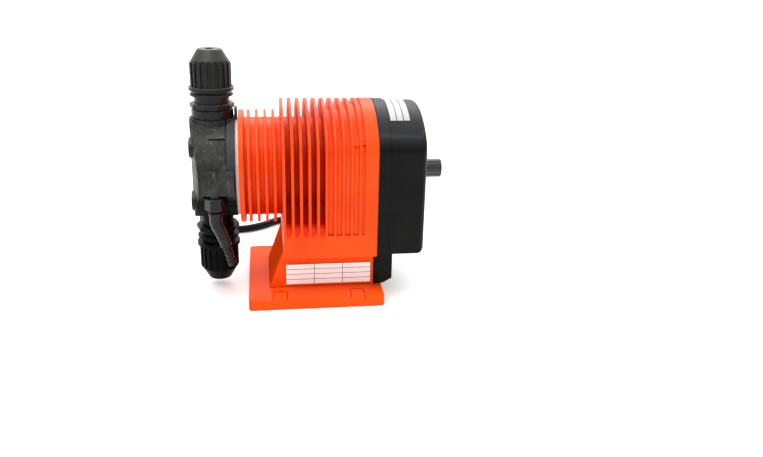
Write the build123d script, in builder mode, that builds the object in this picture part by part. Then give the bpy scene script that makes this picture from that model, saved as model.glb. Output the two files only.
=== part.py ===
from build123d import *
import math
import os

os.makedirs("parts", exist_ok=True)

# ---------------------------------------------------------------------------
# Electronic dosing pump: a solenoid drives a diaphragm in a plastic head.
# Frame: +X along the pump axis towards the control knob, +Z up, the head is
# towards -X.  Origin: centre of the four foot holes, on the plate's underside.
# All sizes in millimetres.
# ---------------------------------------------------------------------------

# pump axis and valve column
Z0 = 95.5            # height of the solenoid axis
XV = -74.8           # vertical valve axis

# orange housing
FIN_R = 42.5         # round fins behind the head
FIN_T = 2.0          # thickness of every fin
FIN_PITCH = 6.07
BARREL_R = 37.0      # round body between the fins
BORE_R = 32.5        # bore for the magnet
X_FRONT = -56.3      # front face of the housing
X_FIRST = -52.7      # back of the first, thick fin
X_ARCH = -24.8       # middle of the first arched fin
X_SHALLOW = X_ARCH + 5 * FIN_PITCH
X_FLANGE = 33.2      # front of the rear flange
X_PART = 42.6        # parting face towards the rear cover
HALF_W = 49.1        # half width of the arch
Z_TOP = 146.4        # top of the arch
R_TOP = 62.0         # radius of the arch's crown
R_CORNER = 20.0      # radius of the arch's shoulders
Z_BOX = 38.1         # underside of the arched body
Z_SKIRT = 53.4       # lower end of the deep gaps
GROOVE_TOP = [6.8, 6.0, 4.6, 3.5, 1.8]    # depth of the shallow grooves at the crown
GROOVE_SIDE = [1.8, 1.5, 1.3, 1.1, 0.9]   # and at the sides

# pedestal and foot plate
PED_HALF = 31.6
PED_X = -37.1        # foot of the sloping front face
PED_TOP_X = -25.8
PLATE_X0, PLATE_X1 = -52.2, 48.8
PLATE_HALF = 54.3
PLATE_T = 8.0
HOLE_DX, HOLE_DY = 58.0, 95.0   # foot hole spacing
HOLE_R = 2.5
HOLE_DEPTH = 6.0
BASE_SCREWS = [(-14.0, -20.0), (-14.0, 20.0), (2.0, -20.0), (2.0, 20.0)]

# rear cover
X_STEP = 51.0        # end of the cover's rim
X_REAR = 78.7        # rear face of the cover
COVER_WALL = 2.8
X_BLOCK = 57.4       # rear face of the lower block
KNOB_Z = 91.7
KNOB_R = 7.2
X_KNOB = 98.9        # end of the knob

# pump head
HEAD_R = 38.0
X_HEAD = -91.6       # front of the head at its middle
X_HEAD_EDGE = -84.1  # front of the head at its rim
X_HEAD_BACK = -58.5
HEAD_TOP = 38.0      # flat for the discharge valve, above the axis
HEAD_LOW = 32.5      # flat for the suction valve, below the axis
BOLT_D = 20.0        # head bolts sit at +-20 mm across and up
COLUMN_R = 16.8
LOW_COLLAR = 26.5    # top of the suction valve's collar, below the axis
XB, YB = -73.9, -35.6  # bleed valve axis

# valve unions
NUT_R = 14.44
NUT_TRAVEL = 4.5     # unscrewing lift of a tube nut, 1.5 turns of 3 mm pitch
STROKE = 1.25        # armature stroke

# mains cord
CORD_D = 6.8
COIL_C = (46.0, 162.0)
COIL_R = 41.0        # middle of the turns
COIL_W = 13.6        # two turns wide, two turns high


# ------------------------------------------------------------- profile helpers
def arch_sketch(half_w, z_top, r_top, r_corner, z_low):
    """Front view of the housing: flat sides, round shoulders, a flatter crown."""
    zc = z_top - r_top
    cy = half_w - r_corner
    cz = zc + math.sqrt((r_top - r_corner) ** 2 - cy ** 2)
    ty = cy * r_top / (r_top - r_corner)
    tz = zc + (cz - zc) * r_top / (r_top - r_corner)
    a = math.atan2(tz - cz, ty - cy) / 2
    my, mz = cy + r_corner * math.cos(a), cz + r_corner * math.sin(a)
    with BuildSketch() as sk:
        with BuildLine():
            Polyline((-half_w, cz), (-half_w, z_low), (half_w, z_low), (half_w, cz))
            ThreePointArc((half_w, cz), (my, mz), (ty, tz))
            ThreePointArc((ty, tz), (0, z_top), (-ty, tz))
            ThreePointArc((-ty, tz), (-my, mz), (-half_w, cz))
        make_face()
    return sk.sketch


def keep(builder, name):
    """Label a finished piece and write it to its own file."""
    builder.part.label = name
    export_step(builder.part, "parts/" + name + ".step")


arch_full = arch_sketch(HALF_W, Z_TOP, R_TOP, R_CORNER, Z_BOX)

# =============================================================== main housing
with BuildPart() as main_housing:
    # round barrel, its thick front flange and the round fins
    with BuildSketch(Plane.YZ.offset(X_FRONT)):
        with Locations((0, Z0)):
            Circle(BARREL_R)
    extrude(amount=X_SHALLOW - X_FRONT)
    with BuildSketch(Plane.YZ.offset(X_FRONT)):
        with Locations((0, Z0)):
            Circle(FIN_R)
    extrude(amount=X_FIRST - X_FRONT)
    for k in range(1, 5):
        with BuildSketch(Plane.YZ.offset(X_ARCH - k * FIN_PITCH - FIN_T / 2)):
            with Locations((0, Z0)):
                Circle(FIN_R)
        extrude(amount=FIN_T)
    # lower skirt of the arched body and the web that carries the barrel
    with BuildSketch(Plane.YZ.offset(X_ARCH - FIN_T / 2)):
        with Locations((0, (Z_BOX + Z_SKIRT + 2.0) / 2)):
            Rectangle(2 * HALF_W, Z_SKIRT + 2.0 - Z_BOX)
        with Locations((0, 57)):
            Rectangle(2 * PED_HALF, 36)
    extrude(amount=X_PART - X_ARCH + FIN_T / 2)
    # round lower ends of the deep gaps, both sides
    with BuildSketch(Plane.XZ.offset(PED_HALF)):
        for k in range(5):
            with Locations((X_ARCH + (k + 0.5) * FIN_PITCH, Z_SKIRT + 2.0)):
                Circle((FIN_PITCH - FIN_T) / 2)
    extrude(amount=HALF_W - PED_HALF + 1, mode=Mode.SUBTRACT)
    with BuildSketch(Plane.XZ.offset(-HALF_W - 1)):
        for k in range(5):
            with Locations((X_ARCH + (k + 0.5) * FIN_PITCH, Z_SKIRT + 2.0)):
                Circle((FIN_PITCH - FIN_T) / 2)
    extrude(amount=HALF_W - PED_HALF + 1, mode=Mode.SUBTRACT)
    # arched fins
    for k in range(10):
        with BuildSketch(Plane.YZ.offset(X_ARCH + k * FIN_PITCH - FIN_T / 2)):
            add(arch_full)
        extrude(amount=FIN_T)
    # shallow grooves: the body between the rear fins rises towards the flange
    for k in range(5):
        x_a = X_SHALLOW + k * FIN_PITCH
        x_b = X_SHALLOW + (k + 1) * FIN_PITCH if k < 4 else X_FLANGE
        with BuildSketch(Plane.YZ.offset(x_a)):
            add(arch_sketch(HALF_W - GROOVE_SIDE[k], Z_TOP - GROOVE_TOP[k], R_TOP - 4, R_CORNER - 2, Z_BOX + 1.0))
        extrude(amount=x_b - x_a)
    # rear flange
    with BuildSketch(Plane.YZ.offset(X_FLANGE)):
        add(arch_full)
    extrude(amount=X_PART - X_FLANGE)
    # magnet bore, shaft hole and diaphragm air recess
    with BuildSketch(Plane.YZ.offset(-48.3)):
        with Locations((0, Z0)):
            Circle(BORE_R)
    extrude(amount=60, mode=Mode.SUBTRACT)
    with BuildSketch(Plane.YZ.offset(X_FRONT)):
        with Locations((0, Z0)):
            Circle(12.0)
    extrude(amount=10, mode=Mode.SUBTRACT)
    with BuildSketch(Plane.YZ.offset(X_FRONT)):
        with Locations((0, Z0)):
            Circle(24.0)
    extrude(amount=2.2, mode=Mode.SUBTRACT)
    # electronics room, open to the rear, with the cable room below it
    with BuildSketch(Plane.YZ.offset(9.0)):
        add(arch_sketch(43.6, 133.6, 52.0, 17.0, 43.5))
        with Locations((0, 30)):
            Rectangle(54, 30)
    extrude(amount=X_PART - 9.0, mode=Mode.SUBTRACT)
    # screw posts in the corners of the electronics room
    with BuildSketch(Plane.YZ.offset(9.0)):
        with Locations((-39.5, 112), (39.5, 112), (-39.5, 48.2), (39.5, 48.2)):
            Circle(5.2)
    extrude(amount=X_PART - 9.0)
    with BuildSketch(Plane.YZ.offset(X_PART)):
        with Locations((-39.5, 112), (39.5, 112), (-39.5, 48.2), (39.5, 48.2)):
            Circle(2.0)
    extrude(amount=-22, mode=Mode.SUBTRACT)
    # threads for the head bolts
    with BuildSketch(Plane.YZ.offset(X_FRONT)):
        with Locations((-BOLT_D, Z0 - BOLT_D), (BOLT_D, Z0 - BOLT_D), (-BOLT_D, Z0 + BOLT_D), (BOLT_D, Z0 + BOLT_D)):
            Circle(2.5)
    extrude(amount=6.8, mode=Mode.SUBTRACT)
    # threads for the screws that hold the base
    with BuildSketch(Plane.XY.offset(Z_BOX)):
        with Locations(*BASE_SCREWS):
            Circle(2.0)
    extrude(amount=13.0, mode=Mode.SUBTRACT)
keep(main_housing, "main_housing")

# base: pedestal with a sloping front on a flat foot plate
with BuildPart() as foot_base:
    with BuildSketch(Plane.XZ.offset(-PED_HALF)):
        with BuildLine():
            Polyline((PED_X, PLATE_T - 1), (PED_TOP_X, Z_BOX), (X_PART, Z_BOX), (X_PART, PLATE_T - 1), close=True)
        make_face()
    extrude(amount=2 * PED_HALF)
    with BuildSketch(Plane.XY):
        with Locations(((PLATE_X0 + PLATE_X1) / 2, 0)):
            RectangleRounded(PLATE_X1 - PLATE_X0, 2 * PLATE_HALF, 3.0)
    extrude(amount=PLATE_T)
    # U-shaped outlines of the screw pads, open to the plate's long edges
    with BuildSketch(Plane.XY.offset(PLATE_T)):
        for sx in (-1, 1):
            for sy in (-1, 1):
                with Locations((sx * HOLE_DX / 2, sy * (PLATE_HALF - 2.4))):
                    RectangleRounded(11.0, 25.6, 3.0)
                with Locations((sx * HOLE_DX / 2, sy * (PLATE_HALF - 2.4))):
                    RectangleRounded(9.6, 24.2, 2.3, mode=Mode.SUBTRACT)
    extrude(amount=-0.6, mode=Mode.SUBTRACT)
    # blind foot holes from below
    with BuildSketch(Plane.XY):
        with GridLocations(HOLE_DX, HOLE_DY, 2, 2):
            Circle(HOLE_R)
    extrude(amount=HOLE_DEPTH, mode=Mode.SUBTRACT)
    # cable room, open to the rear and to the housing above
    with BuildSketch(Plane.YZ.offset(9.0)):
        with Locations((0, 30)):
            Rectangle(54, 30)
    extrude(amount=X_PART - 9.0, mode=Mode.SUBTRACT)
    # counterbored holes for the base screws
    with BuildSketch(Plane.XY):
        with Locations(*BASE_SCREWS):
            Circle(4.2)
    extrude(amount=14.0, mode=Mode.SUBTRACT)
    with BuildSketch(Plane.XY):
        with Locations(*BASE_SCREWS):
            Circle(2.15)
    extrude(amount=Z_BOX + 1, mode=Mode.SUBTRACT)
keep(foot_base, "foot_base")

with BuildPart() as base_screws:
    with BuildSketch(Plane.XY.offset(14.0)):
        with Locations(*BASE_SCREWS):
            Circle(3.5)
    extrude(amount=-2.6)
    with BuildSketch(Plane.XY.offset(14.0)):
        with Locations(*BASE_SCREWS):
            Circle(1.95)
    extrude(amount=34.0)
    with BuildSketch(Plane.XY.offset(11.4)):
        with Locations(*BASE_SCREWS):
            Rectangle(4.0, 0.9)
            Rectangle(0.9, 4.0)
    extrude(amount=1.4, mode=Mode.SUBTRACT)
keep(base_screws, "base_screws")

# blank plate stuck on the pedestal's side
with BuildPart() as rating_plate:
    with BuildSketch(Plane.XZ.offset(PED_HALF)):
        with Locations((8.2, 18.3)):
            RectangleRounded(64.8, 16.6, 1.4)
    extrude(amount=0.3)
keep(rating_plate, "rating_plate")

# ================================================================= rear cover
cover_rim = arch_sketch(HALF_W - 0.3, Z_TOP - 0.3, R_TOP - 0.3, R_CORNER - 0.3, Z_BOX + 0.3)
cover_body = arch_sketch(HALF_W - 1.6, Z_TOP - 1.5, R_TOP - 1.5, R_CORNER - 1.6, Z_BOX + 0.9)
cover_room = arch_sketch(HALF_W - 4.6, Z_TOP - 4.5, R_TOP - 4.5, R_CORNER - 4.6, Z_BOX + 3.9)
SCREWS = [(-39.5, 112), (39.5, 112), (-39.5, 48.2), (39.5, 48.2)]
GLAND_X, GLAND_Z = 50.4, 17.0
with BuildPart() as rear_cover:
    with BuildSketch(Plane.YZ.offset(X_PART + 1.0)):
        add(cover_rim)
    extrude(amount=X_STEP - X_PART - 1.0)
    with BuildSketch(Plane.YZ.offset(X_STEP - 1)):
        add(cover_body)
    extrude(amount=X_REAR - X_STEP + 1)
    # soft rear edge all round
    fillet(rear_cover.faces().sort_by(Axis.X)[-1].edges(), radius=5.5)
    # inside room
    with BuildSketch(Plane.YZ.offset(X_PART + 1.0)):
        add(cover_room)
    extrude(amount=X_REAR - X_PART - 1.0 - COVER_WALL, mode=Mode.SUBTRACT)
    # slot in the floor for the wires from the cable room
    with BuildSketch(Plane.XY.offset(Z_BOX - 1)):
        with Locations((47.4, 0)):
            Rectangle(6.0, 24.0)
    extrude(amount=6.0, mode=Mode.SUBTRACT)
    # screw pillars
    with BuildSketch(Plane.YZ.offset(X_PART + 0.05)):
        with Locations(*SCREWS):
            Circle(5.2)
    extrude(amount=X_REAR - X_PART - 1.5)
    with BuildSketch(Plane.YZ.offset(X_REAR + 1)):
        with Locations(*SCREWS):
            Circle(4.0)
    extrude(amount=-23.7, mode=Mode.SUBTRACT)
    with BuildSketch(Plane.YZ.offset(X_REAR + 1)):
        with Locations(*SCREWS):
            Circle(2.15)
    extrude(amount=-40, mode=Mode.SUBTRACT)
    # holes for the rate control and its lamp
    with BuildSketch(Plane.YZ.offset(X_REAR + 1)):
        with Locations((0, KNOB_Z)):
            Circle(3.6)
        with Locations((0, KNOB_Z + 30)):
            Circle(2.6)
    extrude(amount=-6, mode=Mode.SUBTRACT)
keep(rear_cover, "rear_cover")

# box behind the pedestal that the cable enters, open towards pedestal and cover
with BuildPart() as cable_entry_box:
    with BuildSketch(Plane.XZ.offset(-PED_HALF)):
        with BuildLine():
            Polyline((X_PART, 8.4), (50.5, 8.4), (X_BLOCK, 12.4), (X_BLOCK, Z_BOX + 0.3), (X_PART, Z_BOX + 0.3), close=True)
        make_face()
    extrude(amount=2 * PED_HALF)
    with BuildSketch(Plane.YZ.offset(X_PART)):
        with Locations((0, 28)):
            Rectangle(2 * PED_HALF - 6, 30)
    extrude(amount=X_BLOCK - X_PART - COVER_WALL, mode=Mode.SUBTRACT)
    with BuildSketch(Plane.XZ.offset(-PED_HALF - 1)):
        with Locations((GLAND_X, GLAND_Z)):
            Circle(5.2)
    extrude(amount=6, mode=Mode.SUBTRACT)
    # clear of the seal between housing and cover
    with BuildSketch(Plane.YZ.offset(X_PART)):
        with Locations((0, Z_BOX + 5)):
            Rectangle(2 * HALF_W, 10.0)
    extrude(amount=1.0, mode=Mode.SUBTRACT)
keep(cable_entry_box, "cable_entry_box")

# flat seal between housing and cover
with BuildPart() as cover_gasket:
    with BuildSketch(Plane.YZ.offset(X_PART)):
        add(arch_sketch(HALF_W - 0.8, Z_TOP - 0.8, R_TOP - 0.8, R_CORNER - 0.8, Z_BOX + 0.8))
        add(arch_sketch(45.4, 138.4, 56.4, 18.4, 42.6), mode=Mode.SUBTRACT)
    extrude(amount=1.0)
keep(cover_gasket, "cover_gasket")

# four long screws of the rear cover, cross recess in each head
with BuildPart() as cover_screws:
    with BuildSketch(Plane.YZ.offset(56.0)):
        with Locations(*SCREWS):
            Circle(3.5)
    extrude(amount=2.6)
    with BuildSketch(Plane.YZ.offset(56.0)):
        with Locations(*SCREWS):
            Circle(1.95)
    extrude(amount=-34)
    with BuildSketch(Plane.YZ.offset(58.6)):
        with Locations(*SCREWS):
            Rectangle(4.0, 0.9)
            Rectangle(0.9, 4.0)
    extrude(amount=-1.4, mode=Mode.SUBTRACT)
keep(cover_screws, "cover_screws")

# curved blank label over the crown of the cover
with BuildPart() as crown_label:
    with BuildSketch(Plane.YZ.offset(52.6)):
        with Locations((0, Z_TOP - R_TOP)):
            Circle(R_TOP - 1.5 + 0.25)
            Circle(R_TOP - 1.5, mode=Mode.SUBTRACT)
        with Locations((0, Z_TOP - R_TOP - 60)):
            Rectangle(200, 120 + 2 * 52.0, mode=Mode.SUBTRACT)
    extrude(amount=15.0)
keep(crown_label, "crown_label")

# ============================================================ control elements
with BuildPart() as potentiometer:
    with BuildSketch(Plane.YZ.offset(61.0)):
        with Locations((0, KNOB_Z)):
            RectangleRounded(16.0, 16.0, 1.5)
    extrude(amount=9.0)
    with BuildSketch(Plane.YZ.offset(70.0)):
        with Locations((0, KNOB_Z)):
            Circle(3.5)
    extrude(amount=9.4)
    with BuildSketch(Plane.YZ.offset(62.0)):
        with Locations((0, KNOB_Z)):
            Circle(3.05)
    extrude(amount=20, mode=Mode.SUBTRACT)
keep(potentiometer, "potentiometer")

with BuildPart() as potentiometer_shaft:
    with BuildSketch(Plane.YZ.offset(62.2)):
        with Locations((0, KNOB_Z)):
            Circle(3.0)
    extrude(amount=31.0)
keep(potentiometer_shaft, "potentiometer_shaft")

# ribbed grip with a wider skirt behind it
with BuildPart() as rate_knob:
    with BuildSketch(Plane.YZ.offset(X_REAR + 0.7)):
        with Locations((0, KNOB_Z)):
            Circle(11.5)
    extrude(amount=2.2)
    with BuildSketch(Plane.YZ.offset(X_REAR + 2.9)):
        with Locations((0, KNOB_Z)):
            Circle(KNOB_R)
    extrude(amount=X_KNOB - X_REAR - 2.9)
    fillet(rate_knob.faces().sort_by(Axis.X)[-1].edges(), radius=0.8)
    with BuildSketch(Plane.YZ.offset(X_REAR + 4.4)):
        with Locations((0, KNOB_Z)):
            with PolarLocations(KNOB_R + 0.35, 12):
                Circle(1.05)
    extrude(amount=30, mode=Mode.SUBTRACT)
    with BuildSketch(Plane.YZ.offset(X_REAR + 0.7)):
        with Locations((0, KNOB_Z)):
            Circle(3.0)
    extrude(amount=14.0, mode=Mode.SUBTRACT)
    with BuildSketch(Plane.YZ.offset(X_KNOB + 1)):
        with Locations((0, KNOB_Z + 4.2)):
            Rectangle(0.9, 4.4)
    extrude(amount=-1.6, mode=Mode.SUBTRACT)
keep(rate_knob, "rate_knob")

# printed scale ring round the knob
with BuildPart() as rate_scale:
    with BuildSketch(Plane.YZ.offset(X_REAR)):
        with Locations((0, KNOB_Z)):
            Circle(19.0)
            Circle(4.2, mode=Mode.SUBTRACT)
    extrude(amount=0.3)
keep(rate_scale, "rate_scale")

with BuildPart() as status_lamp:
    with BuildSketch(Plane.YZ.offset(70.0)):
        with Locations((0, KNOB_Z + 30)):
            Circle(2.5)
    extrude(amount=8.5)
    with BuildSketch(Plane.YZ.offset(78.5)):
        with Locations((0, KNOB_Z + 30)):
            Circle(2.5)
    extrude(amount=1.4)
    fillet(status_lamp.faces().sort_by(Axis.X)[-1].edges(), radius=1.2)
keep(status_lamp, "status_lamp")

# board with its mains transformer block and capacitors
with BuildPart() as circuit_board:
    with BuildSketch(Plane.YZ.offset(46.0)):
        with Locations((0, 90)):
            RectangleRounded(64, 76, 2)
    extrude(amount=1.6)
keep(circuit_board, "circuit_board")

with BuildPart() as board_standoffs:
    with BuildSketch(Plane.YZ.offset(47.6)):
        with Locations((-26, 58), (26, 58), (-26, 122), (26, 122)):
            Circle(3.0)
    extrude(amount=X_REAR - COVER_WALL - 47.6)
keep(board_standoffs, "board_standoffs")

with BuildPart() as power_module:
    with BuildSketch(Plane.YZ.offset(47.6)):
        with Locations((-12, 72)):
            RectangleRounded(26, 20, 2)
        with Locations((14, 66), (14, 78)):
            Circle(4.5)
    extrude(amount=11.0)
keep(power_module, "power_module")

with BuildPart() as terminal_block:
    with BuildSketch(Plane.YZ.offset(47.6)):
        with Locations((0, 112)):
            Rectangle(22, 8)
    extrude(amount=9.0)
keep(terminal_block, "terminal_block")

# ==================================================================== solenoid
with BuildPart() as magnet_yoke:
    with BuildSketch(Plane.YZ.offset(-48.2)):
        with Locations((0, Z0)):
            Circle(BORE_R - 0.1)
    extrude(amount=54)
    with BuildSketch(Plane.YZ.offset(-44.2)):
        with Locations((0, Z0)):
            Circle(28.0)
    extrude(amount=60, mode=Mode.SUBTRACT)
    with BuildSketch(Plane.YZ.offset(-49)):
        with Locations((0, Z0)):
            Circle(15.0)
    extrude(amount=10, mode=Mode.SUBTRACT)
keep(magnet_yoke, "magnet_yoke")

with BuildPart() as end_plate:
    with BuildSketch(Plane.YZ.offset(1.2)):
        with Locations((0, Z0)):
            Circle(27.9)
            Circle(6.0, mode=Mode.SUBTRACT)
    extrude(amount=4.6)
keep(end_plate, "end_plate")

with BuildPart() as coil_bobbin:
    with BuildSketch(Plane.YZ.offset(-44.1)):
        with Locations((0, Z0)):
            Circle(27.7)
            Circle(15.1, mode=Mode.SUBTRACT)
    extrude(amount=2.0)
    with BuildSketch(Plane.YZ.offset(-42.1)):
        with Locations((0, Z0)):
            Circle(16.6)
            Circle(15.1, mode=Mode.SUBTRACT)
    extrude(amount=41.2)
    with BuildSketch(Plane.YZ.offset(-0.9)):
        with Locations((0, Z0)):
            Circle(27.7)
            Circle(15.1, mode=Mode.SUBTRACT)
    extrude(amount=2.0)
keep(coil_bobbin, "coil_bobbin")

with BuildPart() as copper_winding:
    with BuildSketch(Plane.YZ.offset(-42.1)):
        with Locations((0, Z0)):
            Circle(26.6)
            Circle(16.6, mode=Mode.SUBTRACT)
    extrude(amount=41.2)
keep(copper_winding, "copper_winding")

# fixed pole with a bore for the front bush
with BuildPart() as pole_piece:
    with BuildSketch(Plane.YZ.offset(-48.2)):
        with Locations((0, Z0)):
            Circle(14.9)
            Circle(6.0, mode=Mode.SUBTRACT)
    extrude(amount=9.0)
keep(pole_piece, "pole_piece")

with BuildPart() as guide_bushes:
    with BuildSketch(Plane.YZ.offset(-48.2)):
        with Locations((0, Z0)):
            Circle(6.0)
            Circle(4.04, mode=Mode.SUBTRACT)
    extrude(amount=8.0)
    with BuildSketch(Plane.YZ.offset(1.2)):
        with Locations((0, Z0)):
            Circle(6.0)
            Circle(4.04, mode=Mode.SUBTRACT)
    extrude(amount=7.0)
keep(guide_bushes, "guide_bushes")

# moving armature; a pocket in its front end holds the return spring
X_ARM = -39.2 + STROKE + 0.25
with BuildPart() as armature:
    with BuildSketch(Plane.YZ.offset(X_ARM)):
        with Locations((0, Z0)):
            Circle(14.2)
            Circle(4.0, mode=Mode.SUBTRACT)
    extrude(amount=-4.0 - X_ARM)
    with BuildSketch(Plane.YZ.offset(X_ARM)):
        with Locations((0, Z0)):
            Circle(9.6)
            Circle(4.0, mode=Mode.SUBTRACT)
    extrude(amount=14.0, mode=Mode.SUBTRACT)
keep(armature, "armature")

with BuildPart() as armature_shaft:
    with BuildSketch(Plane.YZ.offset(-57.4)):
        with Locations((0, Z0)):
            Circle(4.0)
    extrude(amount=73.4)
    # clamping plate behind the diaphragm's hub
    with BuildSketch(Plane.YZ.offset(-54.9)):
        with Locations((0, Z0)):
            Circle(9.0)
    extrude(amount=2.4)
keep(armature_shaft, "armature_shaft")

# return spring, drawn as its stack of closed coils, standing on the pole
with BuildPart() as return_spring:
    with BuildLine(Plane.XY) as spring_path:
        Helix(pitch=2.25, height=13.5, radius=7.6, center=(0, 0, 0), direction=(0, 0, 1))
    with BuildSketch(Plane(origin=(7.6, 0, 0), z_dir=(0, 1, 0))):
        Circle(0.7)
    sweep(path=spring_path.wires()[0], is_frenet=True)
with BuildPart() as return_spring_placed:
    add(return_spring.part.rotate(Axis.Y, 90).translate((-38.4, 0, Z0)))
keep(return_spring_placed, "return_spring")

# diaphragm: white rim clamped between head and housing, thin web, thick hub
with BuildPart() as diaphragm:
    with BuildSketch(Plane.XZ) as dia_profile:
        with BuildLine():
            Polyline(
                (X_HEAD_BACK, Z0 + 36.6), (X_FRONT, Z0 + 36.6), (X_FRONT, Z0 + 23.0), (-57.0, Z0 + 21.5),
                (-57.0, Z0 + 11.0), (-55.0, Z0 + 9.6), (-55.0, Z0 + 4.06), (-57.6, Z0 + 4.06), (-57.6, Z0),
                (-59.6, Z0), (-59.6, Z0 + 9.0), (-58.3, Z0 + 11.4), (-58.3, Z0 + 21.5), (X_HEAD_BACK, Z0 + 23.0), close=True)
        make_face()
    revolve(axis=Axis((0, 0, Z0), (1, 0, 0)), revolution_arc=360)
    # holes for the head bolts in the clamped rim
    with BuildSketch(Plane.YZ.offset(X_HEAD_BACK - 1)):
        with Locations((-BOLT_D, Z0 - BOLT_D), (BOLT_D, Z0 - BOLT_D), (-BOLT_D, Z0 + BOLT_D), (BOLT_D, Z0 + BOLT_D)):
            Circle(2.75)
    extrude(amount=4.0, mode=Mode.SUBTRACT)
keep(diaphragm, "diaphragm")

# =================================================================== pump head
with BuildPart() as pump_head:
    # plan view with a bowed front, cut to a round outline
    with BuildSketch(Plane.XY.offset(Z0 - 45)):
        with BuildLine():
            ThreePointArc((X_HEAD_EDGE, -HEAD_R - 2.2), (X_HEAD, 0), (X_HEAD_EDGE, HEAD_R + 2.2))
            Polyline((X_HEAD_EDGE, HEAD_R + 2.2), (X_HEAD_BACK, HEAD_R + 2.2), (X_HEAD_BACK, -HEAD_R - 2.2), (X_HEAD_EDGE, -HEAD_R - 2.2))
        make_face()
    extrude(amount=90)
    with BuildSketch(Plane.YZ.offset(X_HEAD - 5)):
        with Locations((0, Z0)):
            Circle(HEAD_R)
        with Locations((0, Z0 - 2)):
            Rectangle(2 * COLUMN_R - 3, 2 * HEAD_R - 6)
    extrude(amount=60, mode=Mode.INTERSECT)
    # valve column and the flats for both valves
    with BuildSketch(Plane.XY.offset(Z0 - HEAD_LOW)):
        with Locations((XV, 0)):
            Circle(COLUMN_R)
    extrude(amount=HEAD_LOW + HEAD_TOP)
    with BuildSketch(Plane.XY.offset(Z0 - HEAD_LOW)):
        with Locations((XV, 0)):
            Rectangle(80, 120)
    extrude(amount=-30, mode=Mode.SUBTRACT)
    # raised block on the near side that takes the bleed valve
    with BuildSketch(Plane.XZ.offset(28.0)):
        with Locations(((X_HEAD_EDGE + X_HEAD_BACK) / 2, Z0 - 1.8)):
            RectangleRounded(X_HEAD_BACK - X_HEAD_EDGE, 20.4, 2.0)
    extrude(amount=12.6, taper=6)
    # rim groove in front of the rear flange
    with BuildSketch(Plane.YZ.offset(-65.5)):
        with Locations((0, Z0)):
            Circle(HEAD_R + 6)
            Circle(HEAD_R - 0.9, mode=Mode.SUBTRACT)
        with Locations((0, Z0)):
            Rectangle(120, 23.0, mode=Mode.SUBTRACT)
    extrude(amount=1.0, mode=Mode.SUBTRACT)
    # short slot on the near shoulder
    with BuildSketch(Plane.XY.offset(Z0 + 26.6)):
        with Locations((-71.2, -29)):
            Rectangle(11.5, 9.0)
    extrude(amount=1.0, mode=Mode.SUBTRACT)
    # flat back face
    with BuildSketch(Plane.YZ.offset(X_HEAD_BACK)):
        with Locations((0, Z0)):
            Rectangle(120, 120)
    extrude(amount=12.0, mode=Mode.SUBTRACT)
    # locating tab over the diaphragm's rim
    with BuildSketch(Plane.XY.offset(Z0 + 37.2)):
        with Locations((-58.0, 0)):
            Rectangle(2.0, 8.0)
    extrude(amount=8.0)
    with BuildSketch(Plane.XY.offset(Z0 + 34.0)):
        with Locations((-59.5, 0)):
            Rectangle(2.0, 8.0)
    extrude(amount=4.0)
    # chamber, channels and valve ports
    with BuildSketch(Plane.YZ.offset(X_HEAD_BACK)):
        with Locations((0, Z0)):
            Circle(23.0)
    extrude(amount=-3.2, mode=Mode.SUBTRACT)
    with BuildSketch(Plane.YZ.offset(X_HEAD_BACK)):
        with Locations((0, Z0)):
            Circle(3.0)
    extrude(amount=-16.3, mode=Mode.SUBTRACT)
    with BuildSketch(Plane.XY.offset(Z0 - HEAD_LOW - 1)):
        with Locations((XV, 0)):
            Circle(2.6)
    extrude(amount=HEAD_LOW + HEAD_TOP + 2, mode=Mode.SUBTRACT)
    with BuildSketch(Plane.XY.offset(Z0 + HEAD_TOP)):
        with Locations((XV, 0)):
            Circle(9.0)
    extrude(amount=-15.6, mode=Mode.SUBTRACT)
    with BuildSketch(Plane.XY.offset(Z0 - HEAD_LOW)):
        with Locations((XV, 0)):
            Circle(9.0)
    extrude(amount=15.6, mode=Mode.SUBTRACT)
    # room round the suction valve's collar
    with BuildSketch(Plane.XY.offset(Z0 - HEAD_LOW - 1)):
        with Locations((XV, 0)):
            Circle(17.2)
    extrude(amount=HEAD_LOW + 1 - LOW_COLLAR, mode=Mode.SUBTRACT)
    # bleed port from below the block
    with BuildSketch(Plane.XY.offset(Z0 - 12.5)):
        with Locations((XB, YB)):
            Circle(3.0)
    extrude(amount=8.5, mode=Mode.SUBTRACT)
    with BuildSketch(Plane.XY.offset(Z0 - 10.8)):
        with Locations((XB, YB)):
            Circle(4.0)
    extrude(amount=-4.0, mode=Mode.SUBTRACT)
    with BuildSketch(Plane.XY.offset(Z0 - 12.2)):
        with Locations((XB, YB)):
            Circle(8.2)
    extrude(amount=-21.0, mode=Mode.SUBTRACT)
    # bolt holes with round pockets for the bolt heads
    with BuildSketch(Plane.YZ.offset(X_HEAD - 2)):
        with Locations((-BOLT_D, Z0 - BOLT_D), (BOLT_D, Z0 - BOLT_D), (-BOLT_D, Z0 + BOLT_D), (BOLT_D, Z0 + BOLT_D)):
            Circle(2.75)
    extrude(amount=40, mode=Mode.SUBTRACT)
    with BuildSketch(Plane.YZ.offset(X_HEAD - 2)):
        with Locations((-BOLT_D, Z0 - BOLT_D), (BOLT_D, Z0 - BOLT_D), (-BOLT_D, Z0 + BOLT_D), (BOLT_D, Z0 + BOLT_D)):
            Circle(7.6)
    extrude(amount=11.6, mode=Mode.SUBTRACT)
keep(pump_head, "pump_head")

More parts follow.
